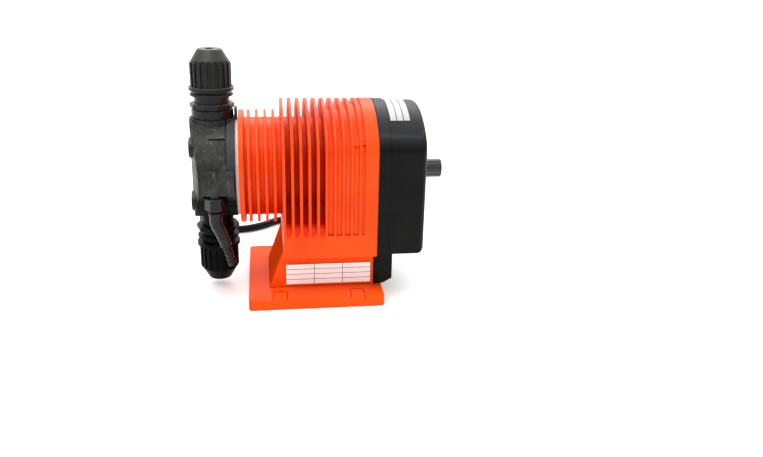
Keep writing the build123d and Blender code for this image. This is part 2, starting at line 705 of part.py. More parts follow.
BOLTS = [(-BOLT_D, Z0 - BOLT_D), (BOLT_D, Z0 - BOLT_D), (-BOLT_D, Z0 + BOLT_D), (BOLT_D, Z0 + BOLT_D)]
with BuildPart() as head_bolts:
    with BuildSketch(Plane.YZ.offset(-82.0)):
        with Locations(*BOLTS):
            Circle(2.45)
    extrude(amount=32.0)
    with BuildSketch(Plane.YZ.offset(-82.0)):
        with Locations(*BOLTS):
            Circle(4.25)
    extrude(amount=-4.8)
    with BuildSketch(Plane.YZ.offset(-86.8)):
        with Locations(*BOLTS):
            RegularPolygon(2.3, 6)
    extrude(amount=2.5, mode=Mode.SUBTRACT)
keep(head_bolts, "head_bolts")

with BuildPart() as bolt_caps:
    with BuildSketch(Plane.YZ.offset(-87.0)):
        with Locations(*BOLTS):
            Circle(7.5)
    extrude(amount=-4.3)
    fillet(bolt_caps.edges().filter_by(GeomType.CIRCLE).group_by(Axis.X)[0], radius=0.7)
    with BuildSketch(Plane.YZ.offset(-91.3)):
        with Locations(*BOLTS):
            Rectangle(9.0, 1.3)
    extrude(amount=1.0, mode=Mode.SUBTRACT)
keep(bolt_caps, "bolt_caps")

# ====================================================================== valves
# Each valve body: sealing spigot, collar, two rings and a threaded barrel.
with BuildPart() as discharge_valve_body:
    with BuildSketch(Plane.XZ):
        with BuildLine():
            Polyline(
                (XV + 2.0, Z0 + 34.4), (XV + 5.0, Z0 + 34.4), (XV + 5.0, Z0 + 25.8), (XV + 6.05, Z0 + 25.8), (XV + 6.05, Z0 + 22.6),
                (XV + 8.95, Z0 + 22.6), (XV + 8.95, Z0 + 28.0), (XV + 7.2, Z0 + 28.0), (XV + 7.2, Z0 + 31.0), (XV + 8.95, Z0 + 31.0),
                (XV + 8.95, Z0 + 38.0), (XV + 12.6, Z0 + 38.0), (XV + 12.6, Z0 + 53.8), (XV + 15.6, Z0 + 54.3), (XV + 15.6, Z0 + 55.6),
                (XV + 12.5, Z0 + 56.2), (XV + 12.5, Z0 + 57.5), (XV + 11.2, Z0 + 57.9), (XV + 11.2, Z0 + 70.5), (XV + 10.2, Z0 + 71.5),
                (XV + 4.4, Z0 + 71.5), (XV + 3.9, Z0 + 73.0), (XV + 2.6, Z0 + 80.0), (XV + 2.0, Z0 + 80.0), close=True)
        make_face()
    revolve(axis=Axis((XV, 0, 0), (0, 0, 1)), revolution_arc=360)
    with BuildSketch(Plane.XY.offset(Z0 + 38.0)):
        with Locations((XV, 0)):
            RegularPolygon(15.2, 12)
            Circle(9.5, mode=Mode.SUBTRACT)
    extrude(amount=6.2)
    with BuildSketch(Plane.XY.offset(Z0 + 45.7)):
        with Locations((XV, 0)):
            RegularPolygon(16.2, 10)
            Circle(9.5, mode=Mode.SUBTRACT)
    extrude(amount=2.9)
    # thread turns, shown as closed ridges
    with BuildSketch(Plane.XZ):
        with BuildLine():
            Polyline((XV + 11.0, Z0 + 60.3), (XV + 12.0, Z0 + 60.9), (XV + 12.0, Z0 + 61.5), (XV + 11.0, Z0 + 62.1), close=True)
        make_face()
        with BuildLine():
            Polyline((XV + 11.0, Z0 + 63.3), (XV + 12.0, Z0 + 63.9), (XV + 12.0, Z0 + 64.5), (XV + 11.0, Z0 + 65.1), close=True)
        make_face()
        with BuildLine():
            Polyline((XV + 11.0, Z0 + 66.3), (XV + 12.0, Z0 + 66.9), (XV + 12.0, Z0 + 67.5), (XV + 11.0, Z0 + 68.1), close=True)
        make_face()
    revolve(axis=Axis((XV, 0, 0), (0, 0, 1)), revolution_arc=360)
keep(discharge_valve_body, "discharge_valve_body")

with BuildPart() as suction_valve_body:
    with BuildSketch(Plane.XZ):
        with BuildLine():
            Polyline(
                (XV + 6.0, Z0 - 17.2), (XV + 8.95, Z0 - 17.2), (XV + 8.95, Z0 - 20.4), (XV + 7.2, Z0 - 20.4), (XV + 7.2, Z0 - 23.4),
                (XV + 8.95, Z0 - 23.4), (XV + 8.95, Z0 - LOW_COLLAR), (XV + 12.0, Z0 - LOW_COLLAR), (XV + 12.0, Z0 - 53.0), (XV + 15.6, Z0 - 53.6),
                (XV + 15.6, Z0 - 55.0), (XV + 12.5, Z0 - 55.6), (XV + 12.5, Z0 - 57.5), (XV + 11.2, Z0 - 57.9), (XV + 11.2, Z0 - 70.5),
                (XV + 10.2, Z0 - 71.5), (XV + 4.4, Z0 - 71.5), (XV + 3.9, Z0 - 73.0), (XV + 2.6, Z0 - 80.0), (XV + 2.0, Z0 - 80.0),
                (XV + 2.0, Z0 - 29.4), (XV + 6.0, Z0 - 29.4), close=True)
        make_face()
    revolve(axis=Axis((XV, 0, 0), (0, 0, 1)), revolution_arc=360)
    # six-sided collar with rounded-off lower corners
    with BuildSketch(Plane.XY.offset(Z0 - LOW_COLLAR)):
        with Locations((XV, 0)):
            RegularPolygon(14.8, 6)
            Circle(9.5, mode=Mode.SUBTRACT)
    extrude(amount=-6.2)
    with BuildSketch(Plane.XZ):
        with BuildLine():
            Polyline((XV + 12.9, Z0 - 32.8), (XV + 15.6, Z0 - 32.8), (XV + 15.6, Z0 - 30.6), close=True)
        make_face()
    revolve(axis=Axis((XV, 0, 0), (0, 0, 1)), revolution_arc=360, mode=Mode.SUBTRACT)
    with BuildSketch(Plane.XY.offset(Z0 - 45.4)):
        with Locations((XV, 0)):
            RegularPolygon(16.2, 10)
            Circle(9.5, mode=Mode.SUBTRACT)
    extrude(amount=-2.9)
    with BuildSketch(Plane.XZ):
        with BuildLine():
            Polyline((XV + 11.0, Z0 - 60.3), (XV + 12.0, Z0 - 60.9), (XV + 12.0, Z0 - 61.5), (XV + 11.0, Z0 - 62.1), close=True)
        make_face()
        with BuildLine():
            Polyline((XV + 11.0, Z0 - 63.3), (XV + 12.0, Z0 - 63.9), (XV + 12.0, Z0 - 64.5), (XV + 11.0, Z0 - 65.1), close=True)
        make_face()
        with BuildLine():
            Polyline((XV + 11.0, Z0 - 66.3), (XV + 12.0, Z0 - 66.9), (XV + 12.0, Z0 - 67.5), (XV + 11.0, Z0 - 68.1), close=True)
        make_face()
    revolve(axis=Axis((XV, 0, 0), (0, 0, 1)), revolution_arc=360)
keep(suction_valve_body, "suction_valve_body")

# seats, balls and O-rings; both balls sit on a seat below them
with BuildPart() as discharge_seat:
    with BuildSketch(Plane.XY.offset(Z0 + 22.6)):
        with Locations((XV, 0)):
            Circle(6.0)
            Circle(3.0, mode=Mode.SUBTRACT)
    extrude(amount=3.2)
keep(discharge_seat, "discharge_seat")

with BuildPart() as suction_seat:
    with BuildSketch(Plane.XY.offset(Z0 - 29.4)):
        with Locations((XV, 0)):
            Circle(5.95)
            Circle(3.0, mode=Mode.SUBTRACT)
    extrude(amount=3.2)
keep(suction_seat, "suction_seat")

with BuildPart() as suction_ball_cage:
    with BuildSketch(Plane.XY.offset(Z0 - 26.2)):
        with Locations((XV, 0)):
            Circle(5.95)
            Circle(4.4, mode=Mode.SUBTRACT)
    extrude(amount=7.4)
    with BuildSketch(Plane.XY.offset(Z0 - 18.8)):
        with Locations((XV, 0)):
            Circle(5.95)
            Circle(2.6, mode=Mode.SUBTRACT)
    extrude(amount=1.6)
keep(suction_ball_cage, "suction_ball_cage")

BALL_R = 3.8
DROP = math.sqrt(BALL_R ** 2 - 9.0)
with BuildPart() as discharge_ball:
    with Locations((XV, 0, Z0 + 25.8 + DROP + 0.04)):
        Sphere(BALL_R)
keep(discharge_ball, "discharge_ball")

with BuildPart() as suction_ball:
    with Locations((XV, 0, Z0 - 26.2 + DROP + 0.04)):
        Sphere(BALL_R)
keep(suction_ball, "suction_ball")

with BuildPart() as valve_o_rings:
    with BuildSketch(Plane.XZ):
        with Locations((XV + 8.1, Z0 + 29.5), (XV + 8.1, Z0 - 21.9)):
            Circle(0.88)
    revolve(axis=Axis((XV, 0, 0), (0, 0, 1)), revolution_arc=360)
keep(valve_o_rings, "valve_o_rings")


# Tube nuts: a flange, a ribbed grip and a cone with the tube's hole.
def nut_ribs():
    """Straight grip ribs round a nut, as one sketch pattern."""
    with BuildSketch() as sk:
        with Locations((XV, 0)):
            with PolarLocations(NUT_R - 0.55, 18):
                RectangleRounded(1.7, 2.3, 0.5)
    return sk.sketch


with BuildPart() as discharge_nut:
    with BuildSketch(Plane.XZ):
        with BuildLine():
            Polyline(
                (XV + 12.08, Z0 + 58.3), (XV + 16.3, Z0 + 58.3), (XV + 16.3, Z0 + 60.5), (XV + 13.7, Z0 + 60.9), (XV + 13.7, Z0 + 78.9),
                (XV + 8.8, Z0 + 87.0), (XV + 8.3, Z0 + 87.4), (XV + 3.1, Z0 + 87.4), (XV + 3.1, Z0 + 82.2), (XV + 7.2, Z0 + 77.0),
                (XV + 7.2, Z0 + 73.4), (XV + 12.08, Z0 + 73.4), close=True)
        make_face()
    revolve(axis=Axis((XV, 0, 0), (0, 0, 1)), revolution_arc=360)
    with BuildSketch(Plane.XY.offset(Z0 + 60.2)):
        add(nut_ribs())
    extrude(amount=17.8)
keep(discharge_nut, "discharge_nut")

with BuildPart() as suction_nut:
    with BuildSketch(Plane.XZ):
        with BuildLine():
            Polyline(
                (XV + 12.08, Z0 - 59.2), (XV + 16.3, Z0 - 59.2), (XV + 16.3, Z0 - 61.4), (XV + 13.7, Z0 - 61.8), (XV + 13.7, Z0 - 80.4),
                (XV + 8.8, Z0 - 89.0), (XV + 8.3, Z0 - 89.4), (XV + 3.1, Z0 - 89.4), (XV + 3.1, Z0 - 82.2), (XV + 7.2, Z0 - 77.0),
                (XV + 7.2, Z0 - 73.4), (XV + 12.08, Z0 - 73.4), close=True)
        make_face()
    revolve(axis=Axis((XV, 0, 0), (0, 0, 1)), revolution_arc=360)
    with BuildSketch(Plane.XY.offset(Z0 - 61.1)):
        add(nut_ribs())
    extrude(amount=-18.4)
keep(suction_nut, "suction_nut")

# split cone rings that grip the tube on its nozzle
with BuildPart() as discharge_grip:
    with BuildSketch(Plane.XZ):
        with BuildLine():
            Polyline((XV + 4.5, Z0 + 74.2), (XV + 6.9, Z0 + 74.2), (XV + 6.9, Z0 + 76.8), (XV + 4.6, Z0 + 79.9), (XV + 4.5, Z0 + 79.9), close=True)
        make_face()
    revolve(axis=Axis((XV, 0, 0), (0, 0, 1)), revolution_arc=360)
keep(discharge_grip, "discharge_grip")

with BuildPart() as suction_grip:
    with BuildSketch(Plane.XZ):
        with BuildLine():
            Polyline((XV + 4.5, Z0 - 74.2), (XV + 6.9, Z0 - 74.2), (XV + 6.9, Z0 - 76.8), (XV + 4.6, Z0 - 79.9), (XV + 4.5, Z0 - 79.9), close=True)
        make_face()
    revolve(axis=Axis((XV, 0, 0), (0, 0, 1)), revolution_arc=360)
keep(suction_grip, "suction_grip")

# ================================================================= bleed valve
with BuildPart() as bleed_valve_body:
    with BuildSketch(Plane.XY.offset(Z0 - 12.0)):
        with Locations((XB, YB)):
            Circle(2.95)
    extrude(amount=7.5)
    with BuildSketch(Plane.XY.offset(Z0 - 10.85)):
        with Locations((XB, YB)):
            Circle(3.9)
    extrude(amount=-6.9)
    with BuildSketch(Plane.XY.offset(Z0 - 13.4)):
        with Locations((XB, YB)):
            RegularPolygon(7.5, 6, rotation=6)
    extrude(amount=-8.7)
    with BuildSketch(Plane.XZ.offset(-YB)):
        with BuildLine():
            Polyline((XB + 6.7, Z0 - 22.2), (XB + 8.0, Z0 - 22.2), (XB + 8.0, Z0 - 20.9), close=True)
        make_face()
        with BuildLine():
            Polyline((XB + 6.7, Z0 - 13.3), (XB + 8.0, Z0 - 13.3), (XB + 8.0, Z0 - 14.6), close=True)
        make_face()
    revolve(axis=Axis((XB, YB, 0), (0, 0, 1)), revolution_arc=360, mode=Mode.SUBTRACT)
    with BuildSketch(Plane.XY.offset(Z0 - 22.1)):
        with Locations((XB, YB)):
            Circle(4.0)
    extrude(amount=-1.5)
    with BuildSketch(Plane.XY.offset(Z0 - 23.6)):
        with Locations((XB, YB)):
            Circle(2.6)
    extrude(amount=-5.4)
    with BuildSketch(Plane.XY.offset(Z0)):
        with Locations((XB, YB)):
            Circle(1.2)
    extrude(amount=-40, mode=Mode.SUBTRACT)
keep(bleed_valve_body, "bleed_valve_body")

ELBOW_TOP, ELBOW_END = Z0 - 24.2, (XB + 6.4, YB + 0.6, Z0 - 50.0)
HOSE_TAIL = Plane(origin=ELBOW_END, z_dir=(4.0, 0.6, -16.0))
with BuildPart() as bleed_elbow:
    # thick end, thinning towards the bend's foot
    with BuildLine() as elbow_path:
        FilletPolyline(
            (XB, YB, ELBOW_TOP), (XB, YB, Z0 - 33.0), (XB + 3.6, YB + 0.3, Z0 - 41.8), ELBOW_END, radius=[13.0, 20.0])
    with BuildSketch(Plane.XY.offset(ELBOW_TOP)):
        with Locations((XB, YB)):
            Circle(4.8)
    with BuildSketch(Plane(origin=elbow_path.wires()[0] @ 1, z_dir=elbow_path.wires()[0] % 1)):
        Circle(4.0)
    sweep(path=elbow_path.wires()[0], multisection=True)
    with BuildSketch(Plane.XY.offset(ELBOW_TOP)):
        with Locations((XB, YB)):
            Circle(5.1)
    extrude(amount=-1.6)
    # ribbed hose tail
    with BuildSketch(HOSE_TAIL.offset(-1.0)):
        Circle(4.25)
    extrude(amount=1.6)
    with BuildSketch(HOSE_TAIL):
        Circle(2.7)
    extrude(amount=16.8)
    for d in (3.0, 6.6, 10.2, 13.8):
        with BuildSketch(HOSE_TAIL.offset(d)):
            Circle(3.5)
        with BuildSketch(HOSE_TAIL.offset(d + 2.4)):
            Circle(2.8)
        loft()
    with BuildSketch(HOSE_TAIL.offset(17.0)):
        Circle(1.4)
    extrude(amount=-11.0, mode=Mode.SUBTRACT)
    with BuildSketch(Plane.XY.offset(ELBOW_TOP)):
        with Locations((XB, YB)):
            Circle(2.66)
    extrude(amount=-5.2, mode=Mode.SUBTRACT)
keep(bleed_elbow, "bleed_elbow")

# ================================================================ mains cable
GY = PED_HALF
with BuildPart() as cable_gland:
    with BuildSketch(Plane.XZ.offset(-(GY - 4.6))):
        with Locations((GLAND_X, GLAND_Z)):
            Circle(5.1)
            Circle(3.75, mode=Mode.SUBTRACT)
    extrude(amount=-4.6)
    with BuildSketch(Plane.XZ.offset(-GY)):
        with Locations((GLAND_X, GLAND_Z)):
            RegularPolygon(7.6, 6)
            Circle(3.75, mode=Mode.SUBTRACT)
    extrude(amount=-5.0)
keep(cable_gland, "cable_gland")

# tapered sleeve, 26 mm
with BuildPart() as strain_relief:
    with BuildSketch(Plane.XZ.offset(-(GY + 5.0))):
        with Locations((GLAND_X, GLAND_Z)):
            Circle(6.4)
    with BuildSketch(Plane.XZ.offset(-(GY + 31.0))):
        with Locations((GLAND_X, GLAND_Z)):
            Circle(4.4)
    loft()
    with BuildSketch(Plane.XZ.offset(-(GY + 4.0))):
        with Locations((GLAND_X, GLAND_Z)):
            Circle(CORD_D / 2)
    extrude(amount=-30, mode=Mode.SUBTRACT)
keep(strain_relief, "strain_relief")

# Cord route, from inside the sleeve to the coil.  It falls to the floor, runs
# to the head's side, turns back and goes into a round coil behind the housing.
R_C = CORD_D / 2
ROUTE = [
    (GLAND_X, GY + 10.4, GLAND_Z),
    (GLAND_X, GY + 32.4, GLAND_Z),
    (43.5, 88.0, R_C + 2.2),
    (24.0, 106.0, R_C),
    (0.0, 121.0, R_C),
    (-24.0, 121.0, R_C),
    (-46.9, 107.0, R_C),
    (-73.1, 107.0, R_C),
    (-93.7, 123.1, R_C),
    (-100.0, 148.5, R_C),
    (-89.4, 172.4, R_C),
    (-66.3, 184.7, R_C),
    (-40.0, 190.0, R_C),
    (-12.0, 195.0, R_C),
    (16.0, 202.5, R_C),
    (43.0, COIL_C[1] + 44.3, R_C),
    (60.0, COIL_C[1] + 44.4, R_C),
]


def route_radii(points):
    """Largest tangent arc for each corner: 0.45 of the shorter run over tan(half turn)."""
    out = []
    for a, b, c in zip(points, points[1:], points[2:]):
        u, v = Vector(*b) - Vector(*a), Vector(*c) - Vector(*b)
        turn = u.get_angle(v)
        short = min(u.length, v.length)
        out.append(0.45 * short / math.tan(math.radians(turn) / 2))
    return out


ROUTE_RADII = route_radii(ROUTE)
with BuildPart() as mains_cord:
    with BuildLine() as cord_path:
        FilletPolyline(*ROUTE, radius=ROUTE_RADII)
    with BuildSketch(Plane(origin=ROUTE[0], z_dir=Vector(*ROUTE[1]) - Vector(*ROUTE[0]))):
        Circle(R_C)
    sweep(path=cord_path.wires()[0])
keep(mains_cord, "mains_cord")
CORD_RUN = cord_path.wires()[0].length
print("cord run %.1f mm, volume ratio %.4f" % (CORD_RUN, mains_cord.part.volume / (math.pi * R_C ** 2 * CORD_RUN)))
print("runs ", [round((Vector(*b) - Vector(*a)).length, 1) for a, b in zip(ROUTE, ROUTE[1:])])
print("radii", [round(r, 1) for r in ROUTE_RADII])

# the coil's outer shape: two turns wide and two turns high
with BuildPart() as mains_cord_coil:
    with BuildSketch(Plane.XZ):
        with Locations((COIL_C[0] + COIL_R, COIL_W / 2)):
            RectangleRounded(COIL_W, COIL_W, 3.2)
    revolve(axis=Axis((COIL_C[0], 0, 0), (0, 0, 1)), revolution_arc=360)
with BuildPart() as coil_placed:
    add(mains_cord_coil.part.translate((0, COIL_C[1], 0)))
keep(coil_placed, "mains_cord_coil")

# strap round the turns at the coil's near side
with BuildPart() as cord_tie:
    with BuildSketch(Plane.XZ.offset(-(COIL_C[1] + 0.0))):
        with Locations((COIL_C[0] - COIL_R, COIL_W / 2 + 0.3)):
            RectangleRounded(COIL_W + 2.2, COIL_W + 1.6, 3.8)
            RectangleRounded(COIL_W + 0.2, COIL_W - 0.4, 3.6, mode=Mode.SUBTRACT)
    extrude(amount=3.5, both=True)
    split(bisect_by=Plane.XY, keep=Keep.TOP)
keep(cord_tie, "cord_tie")

# plug beside the coil: moulded body with a tapered nose, three flat blades
PY = COIL_C[1] + 51.2
PZ = 11.0
with BuildPart() as mains_plug:
    with BuildSketch(Plane.YZ.offset(90.0)):
        with Locations((PY, PZ)):
            RectangleRounded(26.0, 19.0, 6.0)
    with BuildSketch(Plane.YZ.offset(109.0)):
        with Locations((PY, PZ)):
            RectangleRounded(32.0, 22.0, 7.0)
    loft()
    with BuildSketch(Plane.YZ.offset(75.0)):
        with Locations((PY, PZ)):
            Circle(4.4)
    with BuildSketch(Plane.YZ.offset(90.0)):
        with Locations((PY, PZ)):
            Circle(7.4)
    loft()
    with BuildSketch(Plane.YZ.offset(109.0)):
        with Locations((PY, PZ)):
            RectangleRounded(32.0, 22.0, 7.0)
    extrude(amount=3.0)
keep(mains_plug, "mains_plug")

with BuildPart() as plug_blades:
    with BuildSketch(Plane.YZ.offset(106.0)):
        with Locations((PY, PZ - 5.0)):
            Rectangle(1.6, 6.4)
        with Locations(Location((PY - 7.6, PZ + 3.0), 30), Location((PY + 7.6, PZ + 3.0), -30)):
            Rectangle(1.6, 6.4)
    extrude(amount=23.0)
keep(plug_blades, "plug_blades")

# a short tail joins the coil's last turn to the plug's nose
with BuildPart() as cord_tail:
    with BuildLine() as tail_path:
        FilletPolyline((27.0, PY - 6.4, 10.2), (48.0, PY - 0.6, 10.8), (75.0, PY, PZ), radius=[60.0])
    with BuildSketch(Plane(origin=(27.0, PY - 6.4, 10.2), z_dir=(21.0, 5.8, 0.6))):
        Circle(R_C)
    sweep(path=tail_path.wires()[0])
keep(cord_tail, "cord_tail")
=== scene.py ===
import bpy
import bmesh
import math
from mathutils import Matrix, Vector


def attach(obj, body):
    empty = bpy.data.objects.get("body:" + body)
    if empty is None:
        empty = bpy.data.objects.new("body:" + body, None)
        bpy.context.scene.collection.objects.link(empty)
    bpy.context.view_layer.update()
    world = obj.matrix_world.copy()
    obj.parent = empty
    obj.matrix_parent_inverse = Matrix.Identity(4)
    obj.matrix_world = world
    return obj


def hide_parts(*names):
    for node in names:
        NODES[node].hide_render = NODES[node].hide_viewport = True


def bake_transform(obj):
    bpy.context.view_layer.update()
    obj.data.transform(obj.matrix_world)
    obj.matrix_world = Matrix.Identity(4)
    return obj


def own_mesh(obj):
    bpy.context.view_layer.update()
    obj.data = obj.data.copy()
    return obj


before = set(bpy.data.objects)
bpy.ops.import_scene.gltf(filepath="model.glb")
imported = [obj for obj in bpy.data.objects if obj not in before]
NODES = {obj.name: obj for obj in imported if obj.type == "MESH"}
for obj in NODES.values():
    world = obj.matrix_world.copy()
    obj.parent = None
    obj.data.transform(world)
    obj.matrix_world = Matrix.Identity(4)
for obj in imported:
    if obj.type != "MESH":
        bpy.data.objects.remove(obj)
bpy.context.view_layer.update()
MM = 0.001

# geometry shared with the CAD source, in millimetres
Z0, XV = 95.5, -74.8
FIN_R, FIN_PITCH, X_ARCH, X_FLANGE, X_PART = 42.5, 6.07, -24.8, 33.2, 42.6
X_STEP, X_REAR, X_BLOCK = 51.0, 78.7, 57.4
HALF_W, Z_TOP, R_TOP, R_CORNER, Z_BOX = 49.1, 146.4, 62.0, 20.0, 38.1
KNOB_Z = 91.7
CORD_D = 6.8
COIL_C = (46.0, 162.0)

# ------------------------------------------------------------------- camera
yaw, pitch, roll = 0.159564351, 0.360062521, 0.0285309729
fwd = Vector((math.sin(yaw) * math.cos(pitch), math.cos(yaw) * math.cos(pitch), -math.sin(pitch)))
right0 = Vector((math.cos(yaw), -math.sin(yaw), 0.0))
up0 = right0.cross(fwd)
cr, sr = math.cos(roll), math.sin(roll)
right = cr * right0 + sr * up0
up = -sr * right0 + cr * up0
cam_data = bpy.data.cameras.new("photo_camera")
cam_data.sensor_fit = "HORIZONTAL"
cam_data.sensor_width = 36.0
cam_data.lens = 763.957352 * 36.0 / 763.0
cam_data.clip_start = 0.02
cam_data.clip_end = 20.0
camera = bpy.data.objects.new("photo_camera", cam_data)
bpy.context.scene.collection.objects.link(camera)
camera.matrix_world = Matrix((
    (right.x, up.x, -fwd.x, -0.03783), (right.y, up.y, -fwd.y, -0.56758),
    (right.z, up.z, -fwd.z, 0.25802), (0, 0, 0, 1)))
bpy.context.scene.camera = camera
bpy.context.scene.view_settings.view_transform = "Standard"


# ------------------------------------------------------------------- helpers
def link(obj):
    bpy.context.scene.collection.objects.link(obj)
    return obj


def nurbs_object(name, points, radius, resolution=10):
    curve = bpy.data.curves.new(name, "CURVE")
    curve.dimensions = "3D"
    spline = curve.splines.new("NURBS")
    spline.points.add(len(points) - 1)
    for point, co in zip(spline.points, points):
        point.co = (co[0] * MM, co[1] * MM, co[2] * MM, 1.0)
        point.radius = radius * MM
    spline.order_u = 3
    spline.use_endpoint_u = True
    curve.resolution_u = resolution
    curve.bevel_depth = 1.0
    curve.bevel_resolution = 6
    curve.use_fill_caps = True
    return link(bpy.data.objects.new(name, curve))


# ---------------------------------------------------------------- mains cord
R_C = CORD_D / 2
LEG = [
    (50.4, 42.0, 17.0), (50.4, 64.0, 17.0), (43.5, 88.0, R_C + 2.2), (22.5, 114.0, R_C),
    (2.5, 134.5, R_C), (-24.0, 134.5, R_C), (-45.0, 113.0, R_C), (-70.5, 106.5, R_C),
    (-92.5, 119.0, R_C), (-100.0, 147.5, R_C), (-89.4, 172.4, R_C), (-66.3, 184.7, R_C),
    (-40.0, 190.0, R_C), (-12.0, 195.0, R_C), (16.0, 202.5, R_C)]
# the four turns: places in the ring as (turn angle, radius, height); each turn
# drops inwards, rises or moves outwards over its last quarter
TURNS = [
    (0, 44.4, 3.4), (240, 44.4, 3.4), (300, 41.0, 3.4), (352, 37.6, 3.4),
    (600, 37.6, 3.4), (660, 36.2, 7.2), (712, 37.6, 10.2),
    (960, 37.6, 10.2), (1020, 40.6, 12.0), (1072, 44.4, 10.2),
    (1320, 44.4, 10.2), (1380, 47.4, 10.4), (1430, 51.2, 10.8)]


def ring_point(turn):
    """Control point of the coil at that many degrees of winding, clockwise from the far side."""
    for (a0, r0, z0), (a1, r1, z1) in zip(TURNS, TURNS[1:]):
        if a0 <= turn <= a1:
            t = (turn - a0) / (a1 - a0)
            t = t * t * (3 - 2 * t)
            r, z = r0 + (r1 - r0) * t, z0 + (z1 - z0) * t
            break
    a = math.radians(90 - turn)
    r /= 0.972
    return (COIL_C[0] + r * math.cos(a), COIL_C[1] + r * math.sin(a), z)


COIL = [ring_point(t) for t in range(0, 1430, 26)]
TAIL = [(46.0, COIL_C[1] + 51.2, 10.9), (62.0, COIL_C[1] + 51.2, 11.0), (78.0, COIL_C[1] + 51.2, 11.0)]
cord = nurbs_object("mains_lead", LEG + COIL + TAIL, R_C)
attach(cord, "pump")
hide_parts("mains_cord", "mains_cord_coil", "cord_tail")

# ------------------------------------------------------------------ materials
def new_material(name):
    m = bpy.data.materials.new(name)
    m.use_nodes = True
    nt = m.node_tree
    nt.nodes.clear()
    out = nt.nodes.new("ShaderNodeOutputMaterial")
    bsdf = nt.nodes.new("ShaderNodeBsdfPrincipled")
    nt.links.new(bsdf.outputs["BSDF"], out.inputs["Surface"])
    return m, nt, bsdf


def coords(nt, scale=(1, 1, 1)):
    tc = nt.nodes.new("ShaderNodeTexCoord")
    mp = nt.nodes.new("ShaderNodeMapping")
    mp.inputs["Scale"].default_value = scale
    nt.links.new(tc.outputs["Object"], mp.inputs["Vector"])
    return mp.outputs["Vector"]


def noise(nt, vec, scale, detail=3.0, rough=0.55):
    n = nt.nodes.new("ShaderNodeTexNoise")
    n.inputs["Scale"].default_value = scale
    n.inputs["Detail"].default_value = detail
    n.inputs["Roughness"].default_value = rough
    nt.links.new(vec, n.inputs["Vector"])
    return n.outputs["Fac"]


def ramp(nt, fac, stops):
    r = nt.nodes.new("ShaderNodeValToRGB")
    el = r.color_ramp.elements
    while len(el) < len(stops):
        el.new(0.5)
    for e, (p, c) in zip(el, stops):
        e.position = p
        e.color = (*c, 1.0) if len(c) == 3 else c
    nt.links.new(fac, r.inputs["Fac"])
    return r.outputs["Color"]


def span(nt, fac, lo, hi):
    m = nt.nodes.new("ShaderNodeMapRange")
    m.inputs["From Min"].default_value = 0.25
    m.inputs["From Max"].default_value = 0.75
    m.inputs["To Min"].default_value = lo
    m.inputs["To Max"].default_value = hi
    nt.links.new(fac, m.inputs["Value"])
    return m.outputs["Result"]


def bump(nt, height, distance, strength=1.0, before=None):
    b = nt.nodes.new("ShaderNodeBump")
    b.inputs["Strength"].default_value = strength
    b.inputs["Distance"].default_value = distance
    nt.links.new(height, b.inputs["Height"])
    if before is not None:
        nt.links.new(before, b.inputs["Normal"])
    return b.outputs["Normal"]


def creased(nt, colour, deep, reach=0.0016):
    """Painted shade: darkens a colour in narrow creases and grooves, where ambient occlusion finds them."""
    ao = nt.nodes.new("ShaderNodeAmbientOcclusion")
    ao.samples = 6
    ao.inputs["Distance"].default_value = reach
    mask = ramp(nt, ao.outputs["AO"], [(0.35, (1, 1, 1)), (0.80, (0, 0, 0))])
    mix = nt.nodes.new("ShaderNodeMixRGB")
    mix.inputs["Color2"].default_value = (*deep, 1.0)
    nt.links.new(mask, mix.inputs["Fac"])
    nt.links.new(colour, mix.inputs["Color1"])
    return mix.outputs["Color"]


def falling(nt, value, a, b, low=0.0, high=1.0):
    """Clamped ramp of a length in metres: low at a, high at b."""
    mr = nt.nodes.new("ShaderNodeMapRange")
    mr.inputs["From Min"].default_value = a
    mr.inputs["From Max"].default_value = b
    mr.inputs["To Min"].default_value = low
    mr.inputs["To Max"].default_value = high
    nt.links.new(value, mr.inputs["Value"])
    return mr.outputs["Result"]


def times(nt, a, b):
    node = nt.nodes.new("ShaderNodeMath")
    node.operation = "MULTIPLY"
    nt.links.new(a, node.inputs[0])
    nt.links.new(b, node.inputs[1])
    return node.outputs["Value"]


